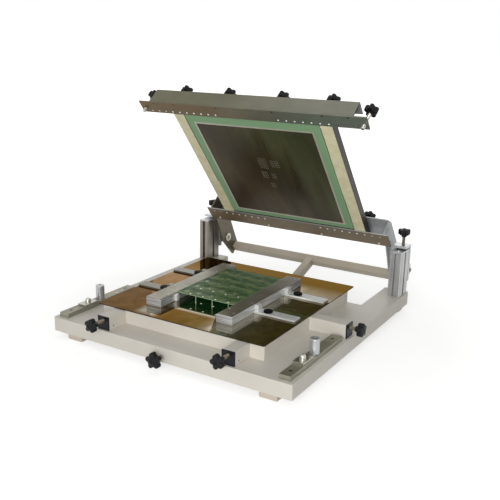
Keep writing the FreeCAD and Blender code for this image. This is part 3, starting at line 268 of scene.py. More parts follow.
def shareInside(tree, place, spans, soft):
    # 1 inside a box in x and y, falling to 0 over a soft edge
    sides = [shareAlong(tree, place, axis, start, end)
             for axis, (low, high) in zip("XY", spans)
             for start, end in ((low - soft, low + soft), (high + soft, high - soft))]
    whole = sides.pop(0)
    for side in sides:
        whole = addNode(tree, "Math", {"operation": "MULTIPLY"}, {0: whole, 1: side})
    return whole


def makeMirrorPlate():
    look = mirrorPlate
    made, tree, place = newMaterial("polishedStainless", {"Specular Tint": look["grazing"]})
    low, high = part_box("tool_plate")
    reflectionWaver, smudge, smear = (
        addNode(tree, "TexNoise", {
            "Scale": scale, "Detail": detail, "Distortion": twist}, {"Vector": place})
        for scale, detail, twist in look["noises"])
    # the tints and the metallic share run left to right with a wavering edge: painted reflection of the room
    along = strayed(tree, shareAlong(tree, place, "X", low.x, high.x), reflectionWaver, look["drift"])
    tint, shine, dark, rough = (
        addNode(tree, "ValToRGB", {"stops": look[stops]}, {"Fac": source})
        for stops, source in (("tints", along), ("shine", along), ("smudge", smudge),
                              ("roughness", smear)))
    colour = addNode(tree, "Mix", {
        "data_type": "RGBA", "blend_type": "MULTIPLY", "Factor": 1.0}, {"A": tint, "B": dark})
    # lighter, fully metallic patches where the rails and the board are mirrored, and a dark band along the back:
    # painted reflection
    zones = [(shareInside(tree, place, spans, look["soft"] * mm), look["mirroredPatchTint"])
             for spans in mirroredPatchZones()]
    back = [low.y + share * (high.y - low.y) for share in look["far"]]
    zones.append((shareAlong(tree, place, "Y", *back), look["backReflectionTint"]))
    for share, zoneTint in zones:
        colour = addNode(tree, "Mix", {"data_type": "RGBA", "B": zoneTint},
                         {"Factor": share, "A": colour})
        shine = addNode(tree, "Mix", {"B": 1.0}, {"Factor": share, "A": shine})
    # faces that turn to the side darken to the edge tint: painted shade
    level = shareAlong(tree, place.node.outputs["Normal"], "Z", *look["sideShadeTurn"])
    whole = addNode(tree, "Mix", {"data_type": "RGBA", "A": look["edge"]},
                    {"Factor": level, "B": colour})
    return feedShader(made, {"Base Color": whole, "Metallic": shine, "Roughness": rough})


foilSteel = {
    # thin stainless foil, laser cut and electropolished, its colour painted dark: painted shade on the face
    # towards the plate and brown painted reflection of the plate, greener to the right, with paler leaning bands
    "tints": [(0.14, "#3C2F1D"), (0.27, "#4A3F28"), (0.38, "#3A3120"), (0.5, "#423D27"),
              (0.62, "#53553B"), (0.74, "#43452F"), (0.9, "#46452F")],
    "metallic": 0.26, "gloss": 0.2, "roughness": [(0.3, 0.24), (0.7, 0.38)], "smears": 26.0,
    # how far the bands lean, how wide they are drawn, where they start and how they waver
    "lean": 0.8, "spread": 0.45, "start": 0.02, "waver": 0.36,
}


def makeFoil():
    look = foilSteel
    made, tree, place = newMaterial("stencilFoilSteel", {
        "Metallic": look["metallic"], "Specular IOR Level": look["gloss"]})
    low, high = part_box("stencil_foil")
    smear = drawnGrain(tree, place, look["smears"], (1.0, 0.12, 0.12), 5.0)
    slant = addNode(tree, "Math", {"operation": "MULTIPLY_ADD", 1: look["lean"]}, {
        0: shareAlong(tree, place, "Z", low.z, high.z),
        2: shareAlong(tree, place, "X", low.x, high.x)})
    bands = addNode(tree, "Math", {
        "operation": "MULTIPLY_ADD", 1: look["spread"], 2: look["start"]}, {0: slant})
    along = strayed(tree, bands, smear, look["waver"])
    # the dark brown to olive tints are painted shade and painted reflection
    tint, rough = (addNode(tree, "ValToRGB", {"stops": look[stops]}, {"Fac": source})
                   for stops, source in (("tints", along), ("roughness", smear)))
    return feedShader(made, {"Base Color": tint, "Roughness": rough})


def makeMesh():
    # polyester mesh under screen emulsion: soft green, its weave drawn coarse so that it shows
    made, tree, place = newMaterial("stretchedMesh", {"Roughness": 0.62})
    threads = [addNode(tree, "TexWave", {"bands_direction": axis, "Scale": 160.0},
                       {"Vector": place}).outputs["Fac"] for axis in "XZ"]
    weave = addNode(tree, "Math", {"operation": "MULTIPLY"}, dict(enumerate(threads)))
    tint = addNode(tree, "ValToRGB", {"stops": [(0.1, "#7DA179"), (0.9, "#8DB087")]},
                   {"Fac": weave})
    return feedShader(made, {"Base Color": tint}, weave, 0.08, 0.6)


boardLacquer = {
    # solder mask over etched copper: mottled green, in bands as wide as one small circuit
    "tints": [(0.3, "#0A3317"), (0.43, "#164420"), (0.56, "#2A552D"), (0.8, "#8A9A68")],
    "band": 40.5, "roughness": 0.42, "below": "#1B6A40", "glow": 0.2, "edge": "#93B088",
    # the underside tint and the glow strength make the side facing the plate glow: painted light
    "bandShare": 0.13, "trackShare": 0.14, "trackDepth": 0.03,
}


def makeBoard():
    look = boardLacquer
    made, tree, place = newMaterial("greenSolderMask", {
        "Roughness": look["roughness"], "Specular IOR Level": 0.05,
        "Emission Strength": look["glow"]})
    normal = place.node.outputs["Normal"]
    # the side that faces the plate glows dark green: painted light, where light off the plate would reach it
    through = addNode(tree, "Mix", {
        "data_type": "RGBA", "A": "#000000", "B": look["below"]},
        {"Factor": shareAlong(tree, normal, "Z", -0.5, -0.9)})
    tracks = addNode(tree, "TexBrick", {
        "Scale": 130.0, "Mortar Size": 0.06, "Brick Width": 0.9, "Row Height": 0.3,
        "Color1": (0, 0, 0, 1), "Color2": (0.35, 0.35, 0.35, 1), "Mortar": (1, 1, 1, 1)},
        {"Vector": place})
    # a wave repeats every 0.314 of its scale
    bands = addNode(tree, "TexWave", {
        "bands_direction": "Y", "Distortion": 3.0, "Detail": 2.0,
        "Scale": 0.314 / (look["band"] * mm)}, {"Vector": place})
    cloud = drawnGrain(tree, place, 130.0, (0.4, 1, 1), 6.0)
    fine = addNode(tree, "TexNoise", {"Scale": 420.0, "Detail": 2.0}, {"Vector": place})
    mottle = addNode(tree, "Mix", {"Factor": 0.4}, {"A": cloud, "B": fine})
    for share, source in ((look["bandShare"], bands.outputs["Fac"]),
                          (look["trackShare"], tracks)):
        mottle = addNode(tree, "Math", {"operation": "MULTIPLY_ADD", 1: share},
                         {0: source, 2: mottle})
    tint = addNode(tree, "ValToRGB", {"stops": look["tints"]}, {"Fac": mottle})
    eitherWay = addNode(tree, "VectorMath", {"operation": "ABSOLUTE"}, {0: normal})
    sawn = addNode(tree, "Mix", {"data_type": "RGBA", "A": look["edge"]},
                   {"Factor": shareAlong(tree, eitherWay, "Z", 0.5, 0.9), "B": tint})
    return feedShader(made, {"Base Color": sawn, "Emission Color": through}, tracks,
                      look["trackDepth"], 0.4)


clampSheet = {
    # bronze-tinted anodised sheet, rolled along x, each face tinted by which way it looks: painted shade and
    # painted reflection, brown underneath, olive on its walls and silver on the sides that face up; each has its
    # tint at the left and the right end
    "under": ("#685639", "#858D80"), "wall": ("#706D55", "#858576"),
    "over": ("#A9ABAA", "#BFC2C3"), "metallic": 0.55, "roughness": 0.36, "grain": 0.6,
    "cutEnd": "#2C2A27", "floorRise": (8.0, 12.0),
}
# the rear channel: the same sheet with its own painted shade and reflection tints
rearSheet = {**clampSheet, "under": ("#75644A", "#75664B"), "wall": ("#A7A9A8", "#CBCECE"),
             "over": ("#B7B9B9", "#CFD2D3"), "metallic": 0.3}


def makeClampSheet(name, look):
    made, tree, place = newMaterial(name, {"Metallic": look["metallic"]})
    normal = place.node.outputs["Normal"]
    streak = drawnGrain(tree, place, 1 / (look["grain"] * mm), (0.02, 1, 1))
    cloud = addNode(tree, "TexNoise", {"Scale": 16.0, "Detail": 3.0}, {"Vector": place})
    both = addNode(tree, "Mix", {"Factor": 0.5}, {"A": streak, "B": cloud})
    wear = addNode(tree, "ValToRGB", {"stops": [(0.36, 0.74), (0.62, 1.0)]}, {"Fac": both})
    low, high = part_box("front_clamp_channel")
    across = shareAlong(tree, place, "X", low.x, high.x)
    colour, wall, over = (
        addNode(tree, "ValToRGB", {"stops": list(zip((0.3, 0.8), look[side]))},
                {"Fac": across}) for side in ("under", "wall", "over"))
    upness, rise = (addNode(tree, "VectorMath", {
        "operation": "DOT_PRODUCT", 1: tuple(clampAxis)}, {0: source})
        for source in (normal, place))
    # the channel's inside lies above its floor; walls stand level and tops face up: tints by height and facing are
    # painted shade and painted reflection
    floor = [liftPivot.dot(clampAxis) + height * mm for height in look["floorRise"]]
    for source, span, tint in ((rise, floor, over), (upness, (-0.75, -0.45), wall),
                               (upness, (0.45, 0.75), over)):
        share = addNode(tree, "MapRange", {"From Min": span[0], "From Max": span[1]},
                        {"Value": source})
        colour = addNode(tree, "Mix", {"data_type": "RGBA"},
                         {"Factor": share, "A": colour, "B": tint})
    worn = addNode(tree, "Mix", {
        "data_type": "RGBA", "blend_type": "MULTIPLY", "Factor": 1.0}, {"A": colour, "B": wear})
    eitherWay = addNode(tree, "VectorMath", {"operation": "ABSOLUTE"}, {0: normal})
    ended = addNode(tree, "Mix", {"data_type": "RGBA", "B": look["cutEnd"]},
                    {"Factor": shareAlong(tree, eitherWay, "X", 0.8, 0.95), "A": worn})
    return finishDrawn(made, ended, streak, look["roughness"], 0.04)


def makeShadedTopBar(name, top, side, roughness):
    # milled bar: fine lines 2.2 mm apart run round its sides, and its top is darker and browner: painted shade and
    # painted reflection
    made, tree, place = newMaterial(name, {"Metallic": 0.6})
    streak = drawnGrain(tree, place, 1 / (2.2 * mm), (0.04, 0.04, 1), 3.0)
    cloud = addNode(tree, "TexNoise", {"Scale": 24.0, "Detail": 4.0}, {"Vector": place})
    sides = addNode(tree, "ValToRGB", {"stops": list(zip((0.35, 0.6), side))}, {"Fac": streak})
    tops = addNode(tree, "ValToRGB", {"stops": list(zip((0.35, 0.65), top))}, {"Fac": cloud})
    upness = shareAlong(tree, place.node.outputs["Normal"], "Z", 0.5, 0.8)
    whole = addNode(tree, "Mix", {"data_type": "RGBA"}, {"Factor": upness, "A": sides, "B": tops})
    return finishDrawn(made, whole, streak, roughness, 0.05, 0.02, 0.5)


metals = {
    # name, darker and lighter tint, roughness, grain in mm, stretch along x, y, z, metallic
    # extruded, clear-anodised aluminium: satin, drawn along z
    "extrusion": ("anodisedExtrusion", "#8E8D8A", "#CBCCCD", 0.36, 1.8, (1, 1, 0.01), 0.75),
    # the left column: the same aluminium, darker and browner: painted shade and painted reflection of the room
    "leftExtrusion": ("shadedExtrusion", "#6F6A62", "#A39D94", 0.36, 1.8, (1, 1, 0.01), 0.75),
    # milled arms, grain along x; the left ones are a darker copy of the same aluminium: painted shade
    "bright": ("brightAluminium", "#D3D5D5", "#F0F0EF", 0.34, 0.8, (0.03, 1, 1), 0.35),
    "shadedArm": ("greyAluminium", "#6E6C60", "#858276", 0.42, 0.8, (0.03, 1, 1), 0.6),
    # turned parts: fine rings are left out, the sheen stays
    "turned": ("turnedAluminium", "#A4A6A8", "#CFD1D2", 0.32, 0.6, (1, 1, 0.1), 0.75),
    # satin sheet ends; the left one is a darker, browner copy: painted shade
    "cheek": ("satinAluminiumSheet", "#575040", "#6B6350", 0.4, 0.7, (1, 0.1, 0.1), 0.5),
    "rightCheek": ("brightSheetEnd", "#8C8E8E", "#AEB2B4", 0.4, 0.7, (1, 0.1, 0.1), 0.4),
    # stencil frame: tube painted dark grey: painted shade
    "tube": ("darkFrameTube", "#252221", "#363231", 0.45, 0.7, (0.1, 1, 1), 0.6),
    # zinc plate on small hardware: bright and a little warm; the studs are darker and browner
    "steel": ("zincPlatedSteel", "#A6A49A", "#CFCDC4", 0.3, 0.5, (1, 1, 1)),
    "stud": ("oiledStudSteel", "#6F6552", "#8F8672", 0.34, 0.5, (1, 1, 1), 0.8),
    # sintered nuts and bushes: warm and satin
    "bronze": ("sinteredBronze", "#9A7B4C", "#B3925E", 0.4, 0.4, (1, 1, 1)),
    # tinned pads and small screws, and pale hole ends that stand for a little of the room seen through them:
    # painted light
    "tin": ("tinnedPad", "#C9CBC6", "#E3E4E0", 0.3, 0.4, (1, 1, 1)),
    # laser-cut rims of the openings, and the pale adhesive along the foil
    "cutEdge": ("foilCutEdge", "#76715F", "#918B78", 0.45, 0.8, (1, 1, 1), 0.3),
    "bead": ("foilEdgeBead", "#ABA799", "#C8C4B8", 0.45, 0.8, (1, 1, 1), 0.3),
}
plastics = {
    # name, colour, roughness, gloss, glow, grain and its depth in mm
    # screw sinks and sockets: black-oxide screws, and black discs that stand for deep holes: painted shade
    "sink": ("blackOxide", "#1B1A1E", 0.5),
    # pins that prop the board: pale moulded plastic
    "pin": ("paleSupportPin", "#B9C09C", 0.45),
    # moulded grips with a soft sheen; the end caps are a touch bluer and the magnets dead flat
    "black": ("mouldedBlackNylon", "#0A090C", 0.42, 0.22),
    "capBlack": ("blackEndCap", "#0C0C14", 0.4, 0.25),
    "magnet": ("blackFerrite", "#09080D", 0.6, 0.06),
    # feet of pale rubber: dull, with a coarser skin
    "foot": ("paleRubber", "#C9BEB0", 0.62, 0.5, 0.0, 0.9, 0.05),
    # white print, and drilled holes; the faint glow is painted light, the bright room seen through the holes
    "white": ("whiteSilkInk", "#ECF0F4", 0.5, 0.5, 0.3),
    # the holes' lower ends, with the room's light coming through
    "litHole": ("litHoleEnd", "#DCE6F6", 0.5, 0.5, 2.4),
}

print("materials")
material = {
    "cream": makeCoat("creamPowderCoat", creamPaint, creamPaint["colour"]),
    "link": makeCoat("linkPowderCoat", creamPaint, creamPaint["linkColour"]),
    "tape": makeCoat("maskingTape", maskingTape, maskingTape["colour"]),
    "oldTape": makeCoat("yellowedTape", maskingTape, maskingTape["oldColour"]),
    "plate": makeMirrorPlate(),
    "foil": makeFoil(),
    "mesh": makeMesh(),
    "board": makeBoard(),
    "clamp": makeClampSheet("bronzeAnodisedSheet", clampSheet),
    "rearClamp": makeClampSheet("rearAnodisedSheet", rearSheet),
    # bars with brown-grey tops and bright milled ends and sides; the darker tops are painted shade and painted
    # reflection
    "rail": makeShadedTopBar("railBarShadedTop", ("#706B5A", "#827D6B"), ("#A2A5A6", "#DDDEDE"), 0.36),
    "stopBar": makeShadedTopBar("stopBarShadedTop", ("#848070", "#969280"), ("#8A8878", "#A3A193"), 0.4),
    **{finish: makeMetal(*facts) for finish, facts in metals.items()},
    **{finish: makePlastic(*facts) for finish, facts in plastics.items()},
}


# Meshes and objects

def addObject(name, data):
    made = bpy.data.objects.new(name, data)
    bpy.context.scene.collection.objects.link(made)
    return made


def finishMesh(name, mesh, body, finish, smoothAngle=32):
    mesh.materials.clear()
    mesh.materials.append(finish)
    mesh.shade_smooth()
    mesh.set_sharp_from_angle(angle=math.radians(smoothAngle))
    made = addObject(name, mesh)
    if body:
        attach(made, body)
    return made


def meshFrom(name, work):
    mesh = bpy.data.meshes.new(name)
    bmesh.ops.recalc_face_normals(work, faces=work.faces)
    work.to_mesh(mesh)
    work.free()
    return mesh


def plain(made):
    # the evaluated mesh takes the place of the modifiers
    bpy.context.view_layer.update()
    graph = bpy.context.evaluated_depsgraph_get()
    mesh = bpy.data.meshes.new_from_object(made.evaluated_get(graph))
    made.modifiers.clear()
    made.data = mesh
    return made


def joinRings(work, rings):
    # closed rings of corners joined in their order, with a face over each end
    steps = len(rings[0])
    for low, high in zip(rings, rings[1:]):
        for k in range(steps):
            after = (k + 1) % steps
            work.faces.new((low[k], low[after], high[after], high[k]))
    work.faces.new(list(reversed(rings[0])))
    work.faces.new(rings[-1])


def turnedMesh(name, rings, steps):
    # rings about z in millimetres, each a height and a radius that may change with the turn
    work = bmesh.new()
    loops = []
    for height, radiusAt in rings:
        loop = []
        for turn in (math.tau * k / steps for k in range(steps)):
            radius = (radiusAt(turn) if callable(radiusAt) else radiusAt) * mm
            loop.append(work.verts.new((radius * math.cos(turn), radius * math.sin(turn),
                                        height * mm)))
        loops.append(loop)
    joinRings(work, loops)
    return meshFrom(name, work)


def addBlock(work, spotAt, low, high):
    # a plain block between two corners of a frame, whose places spotAt gives
    corners = [work.verts.new(spotAt(x, y, z)) for z in (low[2], high[2])
               for y in (low[1], high[1]) for x in (low[0], high[0])]
    for face in ((0, 1, 3, 2), (4, 6, 7, 5), (0, 4, 5, 1), (2, 3, 7, 6), (0, 2, 6, 4),
                 (1, 5, 7, 3)):
        work.faces.new([corners[i] for i in face])


def alongAxis(axis):
    return Vector(axis).to_track_quat("Z", "Y").to_matrix().to_4x4()


# Pieces from CAD nodes

sharpEdge = {"turn": 40.0, "merge": 2e-6, "level": 0.5}


def dress(node, finish, edge, segments):
    # a copy of the node with its seams merged and its sharp edges broken
    work = bmesh.new()
    work.from_mesh(frame["nodes"][node].data)
    bmesh.ops.remove_doubles(work, verts=work.verts, dist=sharpEdge["merge"])
    bmesh.ops.dissolve_limit(work, angle_limit=math.radians(sharpEdge["level"]),
                             verts=work.verts, edges=work.edges)
    # only outer edges are broken: a fillet in an inner corner would reach into the running gaps
    weight = work.edges.layers.float.new("bevel_weight_edge")
    for rim in work.edges:
        if len(rim.link_faces) == 2 and rim.is_convex \
                and rim.calc_face_angle() > math.radians(sharpEdge["turn"]):
            rim[weight] = 1.0
    mesh = bpy.data.meshes.new(node + "_dressed")
    work.to_mesh(mesh)
    work.free()
    made = finishMesh(node + "_dressed", mesh, None, material[finish])
    if edge:
        bevel = made.modifiers.new("edge", "BEVEL")
        bevel.width = edge * mm
        bevel.segments = segments
        bevel.limit_method = "WEIGHT"
        # large faces keep their own normal, so that the mirror sheet reflects true
        flat = made.modifiers.new("flat", "WEIGHTED_NORMAL")
        flat.weight = 100
        flat.keep_sharp = True
        plain(made)
    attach(made, bodyOf[node])
    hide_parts(node)


# finish, broken edge in mm and its steps, slot and nodes
dressed = (
    ("cream", 1.5, 3, "cream_paint", "table_box"),
    ("cream", 1.8, 3, "cream_paint", "front_left_block front_right_block side_block"),
    ("link", 1.8, 3, "cream_paint", "crossbar lever_arm"),
    ("cream", 1.2, 2, "cream_paint", "base_pan"),
    ("foot", 1.5, 2, "foot_rubber", "base_feet"),
    ("extrusion", 0.35, 2, "aluminium", "right_column"),
    ("leftExtrusion", 0.35, 2, "aluminium", "left_column"),
    ("turned", 0.4, 2, "aluminium",
     "column_caps stop_posts left_hinge_carriage right_hinge_carriage"),
    ("rail", 0.5, 2, "aluminium",
     "left_board_rail right_board_rail y_slide_plate x_slide_plate turntable_hub"),
    ("stopBar", 0.5, 2, "aluminium", "left_stop_bar right_stop_bar"),
    ("bright", 0.4, 2, "aluminium", "right_rail_arms"),
    ("shadedArm", 0.4, 2, "aluminium", "left_rail_arms"),
    ("clamp", 0.4, 2, "clamp_aluminium", "front_clamp_channel front_lip_bar"),
    ("rearClamp", 0.4, 2, "clamp_aluminium", "rear_clamp_channel"),
    ("cheek", 0.4, 2, "aluminium", "left_end_plate"),
    ("rightCheek", 0.4, 2, "aluminium", "right_end_plate"),
    ("tube", 0.0, 2, "aluminium", "stencil_frame"),
    ("steel", 0.3, 2, "steel", "dome_nuts spring_anchor slide_rails"),
    ("stud", 0.3, 2, "steel", "hinge_pins"),
    ("bronze", 0.3, 2, "bronze", "x_nut theta_nut"),
    ("steel", 0.3, 2, "bronze", "hinge_bushes"),
    ("capBlack", 0.8, 2, "black_plastic", "block_caps"),
    ("magnet", 0.5, 2, "black_plastic", "left_rail_magnets right_rail_magnets"),
    ("plate", 0.25, 2, "mirror_steel", "tool_plate"),
    ("foil", 0.0, 2, "foil_steel", "stencil_foil"),
    ("mesh", 0.0, 2, "mesh_polyester", "stencil_mesh"),
    ("board", 0.15, 2, "board_laminate", "pcb_panel"),
)
for finish, edge, segments, slot, names in dressed:
    for node in names.split():
        dress(node, finish, edge, segments)

# the nut's top is let down a little, so that the table box slides clear of it
nutTop = {"drop": 0.3, "layer": 1.0}
nut = bpy.data.objects["x_nut_dressed"].data
highest = max(vertex.co.z for vertex in nut.vertices)
for vertex in nut.vertices:
    if vertex.co.z > highest - nutTop["layer"] * mm:
        vertex.co.z -= nutTop["drop"] * mm
print("CAD nodes dressed")


# Star grips with their threaded studs

starGrip = {
    "tip": 15.0, "lobe": 4.8, "hub": 10.8, "neck": 6.5, "neckTop": 5.2, "headTop": 18.4,
    "crown": 19.9, "round": 2.2, "lobes": 5, "steps": 100, "gripHeight": 20.0, "blend": 9,
    "largestSpin": 1.2, "lockTip": 17.5, "neckEdge": (0.4, 0.5, 0.6),
    "edgeShares": (0.0, 0.35, 0.7, 1.0),
    # the flat of the head, then the ring on its crown: how far in or how wide, and how high
    "flat": (3.2, 0.35), "ring": ((7.4, -0.9), (6.4, -0.2), (4.0, -0.2), (3.6, -1.2)),
}
threadCut = {"pitch": 1.25, "depth": 0.55, "steps": 20, "perTurn": 4, "dia": 8.0, "sunk": 2.0,
             "chamfer": 1.6, "shortest": 3.0}


def starRadius(turn, tip):
    # hub circle joined to round lobes by a soft maximum
    span = math.tau / starGrip["lobes"]
    off = (turn + span / 2) % span - span / 2
    reach = tip - starGrip["lobe"]
    side = reach * math.sin(off)
    hub = starGrip["hub"] * (tip / starGrip["tip"])
    if abs(side) >= starGrip["lobe"]:
        return hub
    outer = reach * math.cos(off) + math.sqrt(starGrip["lobe"] ** 2 - side ** 2)
    return (hub ** starGrip["blend"] + outer ** starGrip["blend"]) ** (1 / starGrip["blend"])


def gripMesh(name, tip):
    # the neck, the star outline drawn in at its rounded edges, and the crown
    edge, neck, neckTop, headTop = (starGrip[k] for k in ("round", "neck", "neckTop", "headTop"))
    turns = [share * math.pi / 2 for share in starGrip["edgeShares"]]
    inset = [(neckTop + edge * (1 - math.cos(a)), edge * (1 - math.sin(a))) for a in turns]
    inset += [(headTop - edge * (1 - math.sin(a)), edge * (1 - math.cos(a))) for a in turns]
    inset.append((headTop + starGrip["flat"][1], starGrip["flat"][0]))
    cut, rise, fall = starGrip["neckEdge"]
    rings = [(0.0, neck - cut), (rise, neck), (neckTop - fall, neck)]
    rings += [(height, lambda turn, drawn=drawn: starRadius(turn, tip) - drawn)
              for height, drawn in inset]
    rings += [(starGrip["crown"] + height, radius) for radius, height in starGrip["ring"]]
    return turnedMesh(name, rings, starGrip["steps"])


def threadMesh(name, length):
    # a rod whose surface follows a single-start thread, with plain chamfered ends
    pitch, depth, radius = threadCut["pitch"], threadCut["depth"], threadCut["dia"] / 2
    rows = max(4, int(length / pitch * threadCut["perTurn"]))

    def cutRadius(turn, height):
        phase = (height / pitch - turn / math.tau) % 1.0
        return radius - depth * abs(2 * phase - 1)

    rings = [(height, lambda turn, height=height: cutRadius(turn, height))
             for height in (length * row / rows for row in range(rows + 1))]
    rings[0] = (0.0, radius - depth * threadCut["chamfer"])
    rings[-1] = (length, radius - depth * threadCut["chamfer"])
    return turnedMesh(name, rings, threadCut["steps"])


def reachAlong(node, axis):
    # how far the node spans along a direction
    values = [vertex.co.dot(axis) for vertex in frame["nodes"][node].data.vertices]
    return min(values), max(values)


def addStud(name, node, start, axis, length, finish):
    stud = threadMesh(name, length)
    stud.transform(Matrix.Translation(start) @ alongAxis(axis))
    made = finishMesh(name, stud, bodyOf[node], material[finish], smoothAngle=50)
    return made


def screwAt(node, outward, spin, tip=starGrip["tip"]):
    joint = joints[node + "_turn"]
    axis = Vector(joint["axis"]).normalized() * outward
    foot = Vector(joint["pos_m"])
    low, high = reachAlong(node, axis)
    seat = foot + axis * (high - starGrip["gripHeight"] * mm - foot.dot(axis))
    grip = gripMesh(node + "_grip", tip)
    grip.transform(Matrix.Translation(seat) @ alongAxis(axis) @ Matrix.Rotation(spin, 4, "Z"))
    head = finishMesh(node + "_grip", grip, bodyOf[node], material["black"], smoothAngle=38)
    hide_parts(node)
    length = (seat.dot(axis) - low) / mm
    if length > threadCut["shortest"]:
        addStud(node + "_stud", node, seat - axis * (length * mm), axis,
                length + threadCut["sunk"], "stud")


def endScrews():
    for side in ("left", "right"):
        node = side + "_end_screw"
        low, high = reachAlong(node, clampAxis)
        foot = Vector(joints[side + "_end_knob_turn"]["pos_m"])
        start = foot + clampAxis * (low - foot.dot(clampAxis))
        made = addStud(node + "_thread", node, start, clampAxis, (high - low) / mm, "steel")
        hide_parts(node)


random.seed(7)
for side in ("left", "right"):
    for node, outward in (("front_clamp_%s_outer", 1), ("front_clamp_%s_inner", 1),
                          ("rear_clamp_%s", 1), ("%s_column_screw", 1), ("%s_end_knob", -1)):
        screwAt(node % side, outward, random.uniform(0, starGrip["largestSpin"]))
screwAt("y_adjuster", -1, 0.2)
screwAt("theta_adjuster", -1, 0.7)
screwAt("x_adjuster", 1, 0.3)
screwAt("lock_knob", -1, 0.5, starGrip["lockTip"])
endScrews()
print("star grips and studs")


# Tape, foil edge and apertures on the stencil

stencilDress = {
    "tapeInner": 176.5, "tapeOuter": 204.6, "tapeBack": 131.5, "tapeFront": 484.5,
    "tapeThick": 0.25, "under": 1.2, "rows": 60, "seam": 251.0, "wider": 2.5,
    "waver": 0.35, "waves": 9, "fray": 0.2,
    "bead": 4.4, "beadDepth": (1.0, 1.45),
    # five plain patches of openings, each opening's size and pitch, and how proud its edges are
    "blocks": ((-23, 322, -1, 357), (10, 330, 31, 356), (-28, 288, -9, 311), (-2, 290, 10, 306),
               (-14, 255, 1, 276)),
    "aperture": (2.1, 3.2), "padPitch": (4.6, 6.2), "padDepth": (0.08, 0.02),
}
foilSpots = [liftPlace.inverted() @ vertex.co for vertex in foilMesh.vertices]


def makeTapeStrip(name, side, front, wide, finish):
    # one strip on the underside of a side bar, with a slightly wandering inner edge
    look = stencilDress
    high = look["under"]
    low = high - look["tapeThick"] * (2 if wide else 1)
    work = bmesh.new()
    rings = []
    for step in range(look["rows"] + 1):
        share = step / look["rows"]
        s = look["tapeBack"] + share * (front - look["tapeBack"])
        inner = look["tapeInner"] - wide + look["waver"] * math.sin(share * look["waves"]) \
            + random.uniform(-look["fray"], look["fray"])
        outer = look["tapeOuter"]
        rings.append([work.verts.new(liftSpot(side * x, s, n)) for x, n in (
            (inner, high), (inner, low), (outer, low), (outer, high))])
    joinRings(work, rings)
    finishMesh(name, meshFrom(name, work), "lift", material[finish])


def makeBead():
    # pale line of adhesive where the foil ends on the mesh
    x1 = max(spot.x for spot in foilSpots) / mm
    s0, s1 = min(-spot.y for spot in foilSpots) / mm, max(-spot.y for spot in foilSpots) / mm
    wide = stencilDress["bead"]
    low, high = stencilDress["beadDepth"]
    work = bmesh.new()
    for a, b, c, d in ((-x1 - wide, -x1, s0 - wide, s1 + wide),
                       (x1, x1 + wide, s0 - wide, s1 + wide),
                       (-x1, x1, s0 - wide, s0), (-x1, x1, s1, s1 + wide)):
        addBlock(work, liftSpot, (a, c, low), (b, d, high))
    bmesh.ops.remove_doubles(work, verts=work.verts, dist=1e-6)
    finishMesh("foil_edge", meshFrom("foil_edge", work), "lift", material["bead"])


random.seed(11)
makeTapeStrip("tape_right", 1, stencilDress["tapeFront"], 0.0, "tape")
makeTapeStrip("tape_left", -1, stencilDress["tapeFront"], 0.0, "tape")
makeTapeStrip("tape_left_end", -1, stencilDress["seam"], stencilDress["wider"], "oldTape")
makeBead()
print("stencil tape and edge")


# Small repeated pieces: screws, sunk holes, dots on the board and pins under it

def newTree(name, inputs):
    # a tree for a modifier and its named inputs
    tree = bpy.data.node_groups.new(name, "GeometryNodeTree")
    for label, kind in inputs.items():
        tree.interface.new_socket(name=label, in_out="INPUT", socket_type="NodeSocket" + kind)
    tree.interface.new_socket(name="Geometry", in_out="OUTPUT", socket_type="NodeSocketGeometry")
    return tree, addNode(tree, "NodeGroupInput").outputs


def endTree(tree, source, given):
    real = addNode(tree, "RealizeInstances", links={"Geometry": source})
    painted = addNode(tree, "SetMaterial", links={"Geometry": real, "Material": given["Material"]})
    addNode(tree, "NodeGroupOutput", links={"Geometry": painted})
    return tree


def runTree(made, tree, values):
    # a modifier's inputs are set by their identifiers, and its result is kept as a plain mesh
    work = made.modifiers.new("work", "NODES")
    work.node_group = tree
    for item in tree.interface.items_tree:
        if item.in_out == "INPUT" and item.name in values:
            work[item.identifier] = values[item.name]
    plain(made)
    made.data.shade_smooth()


def makePointTree():
    # the piece is set on every point, made real and given its material
    tree, given = newTree("setOnPoints", {
        "Points": "Geometry", "Piece": "Object", "Size": "Float", "Material": "Material"})
    piece = addNode(tree, "ObjectInfo", links={"Object": given["Piece"]})
    size = addNode(tree, "ShaderNodeCombineXYZ", links={axis: given["Size"] for axis in "XYZ"})
    placed = addNode(tree, "InstanceOnPoints", links={
        "Points": given["Points"], "Instance": piece.outputs["Geometry"], "Scale": size})
    return endTree(tree, placed, given)


pointTree = makePointTree()


def setPiece(name, body, mesh, spots, finish, size=1.0):
    piece = addObject(name + "_piece", mesh)
    points = bpy.data.meshes.new(name)
    points.from_pydata([tuple(spot) for spot in spots], [], [])
    made = addObject(name, points)
    runTree(made, pointTree, {"Piece": piece, "Size": size, "Material": material[finish]})
    bpy.data.objects.remove(piece)
    made.data.set_sharp_from_angle(angle=math.radians(40))
    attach(made, body)


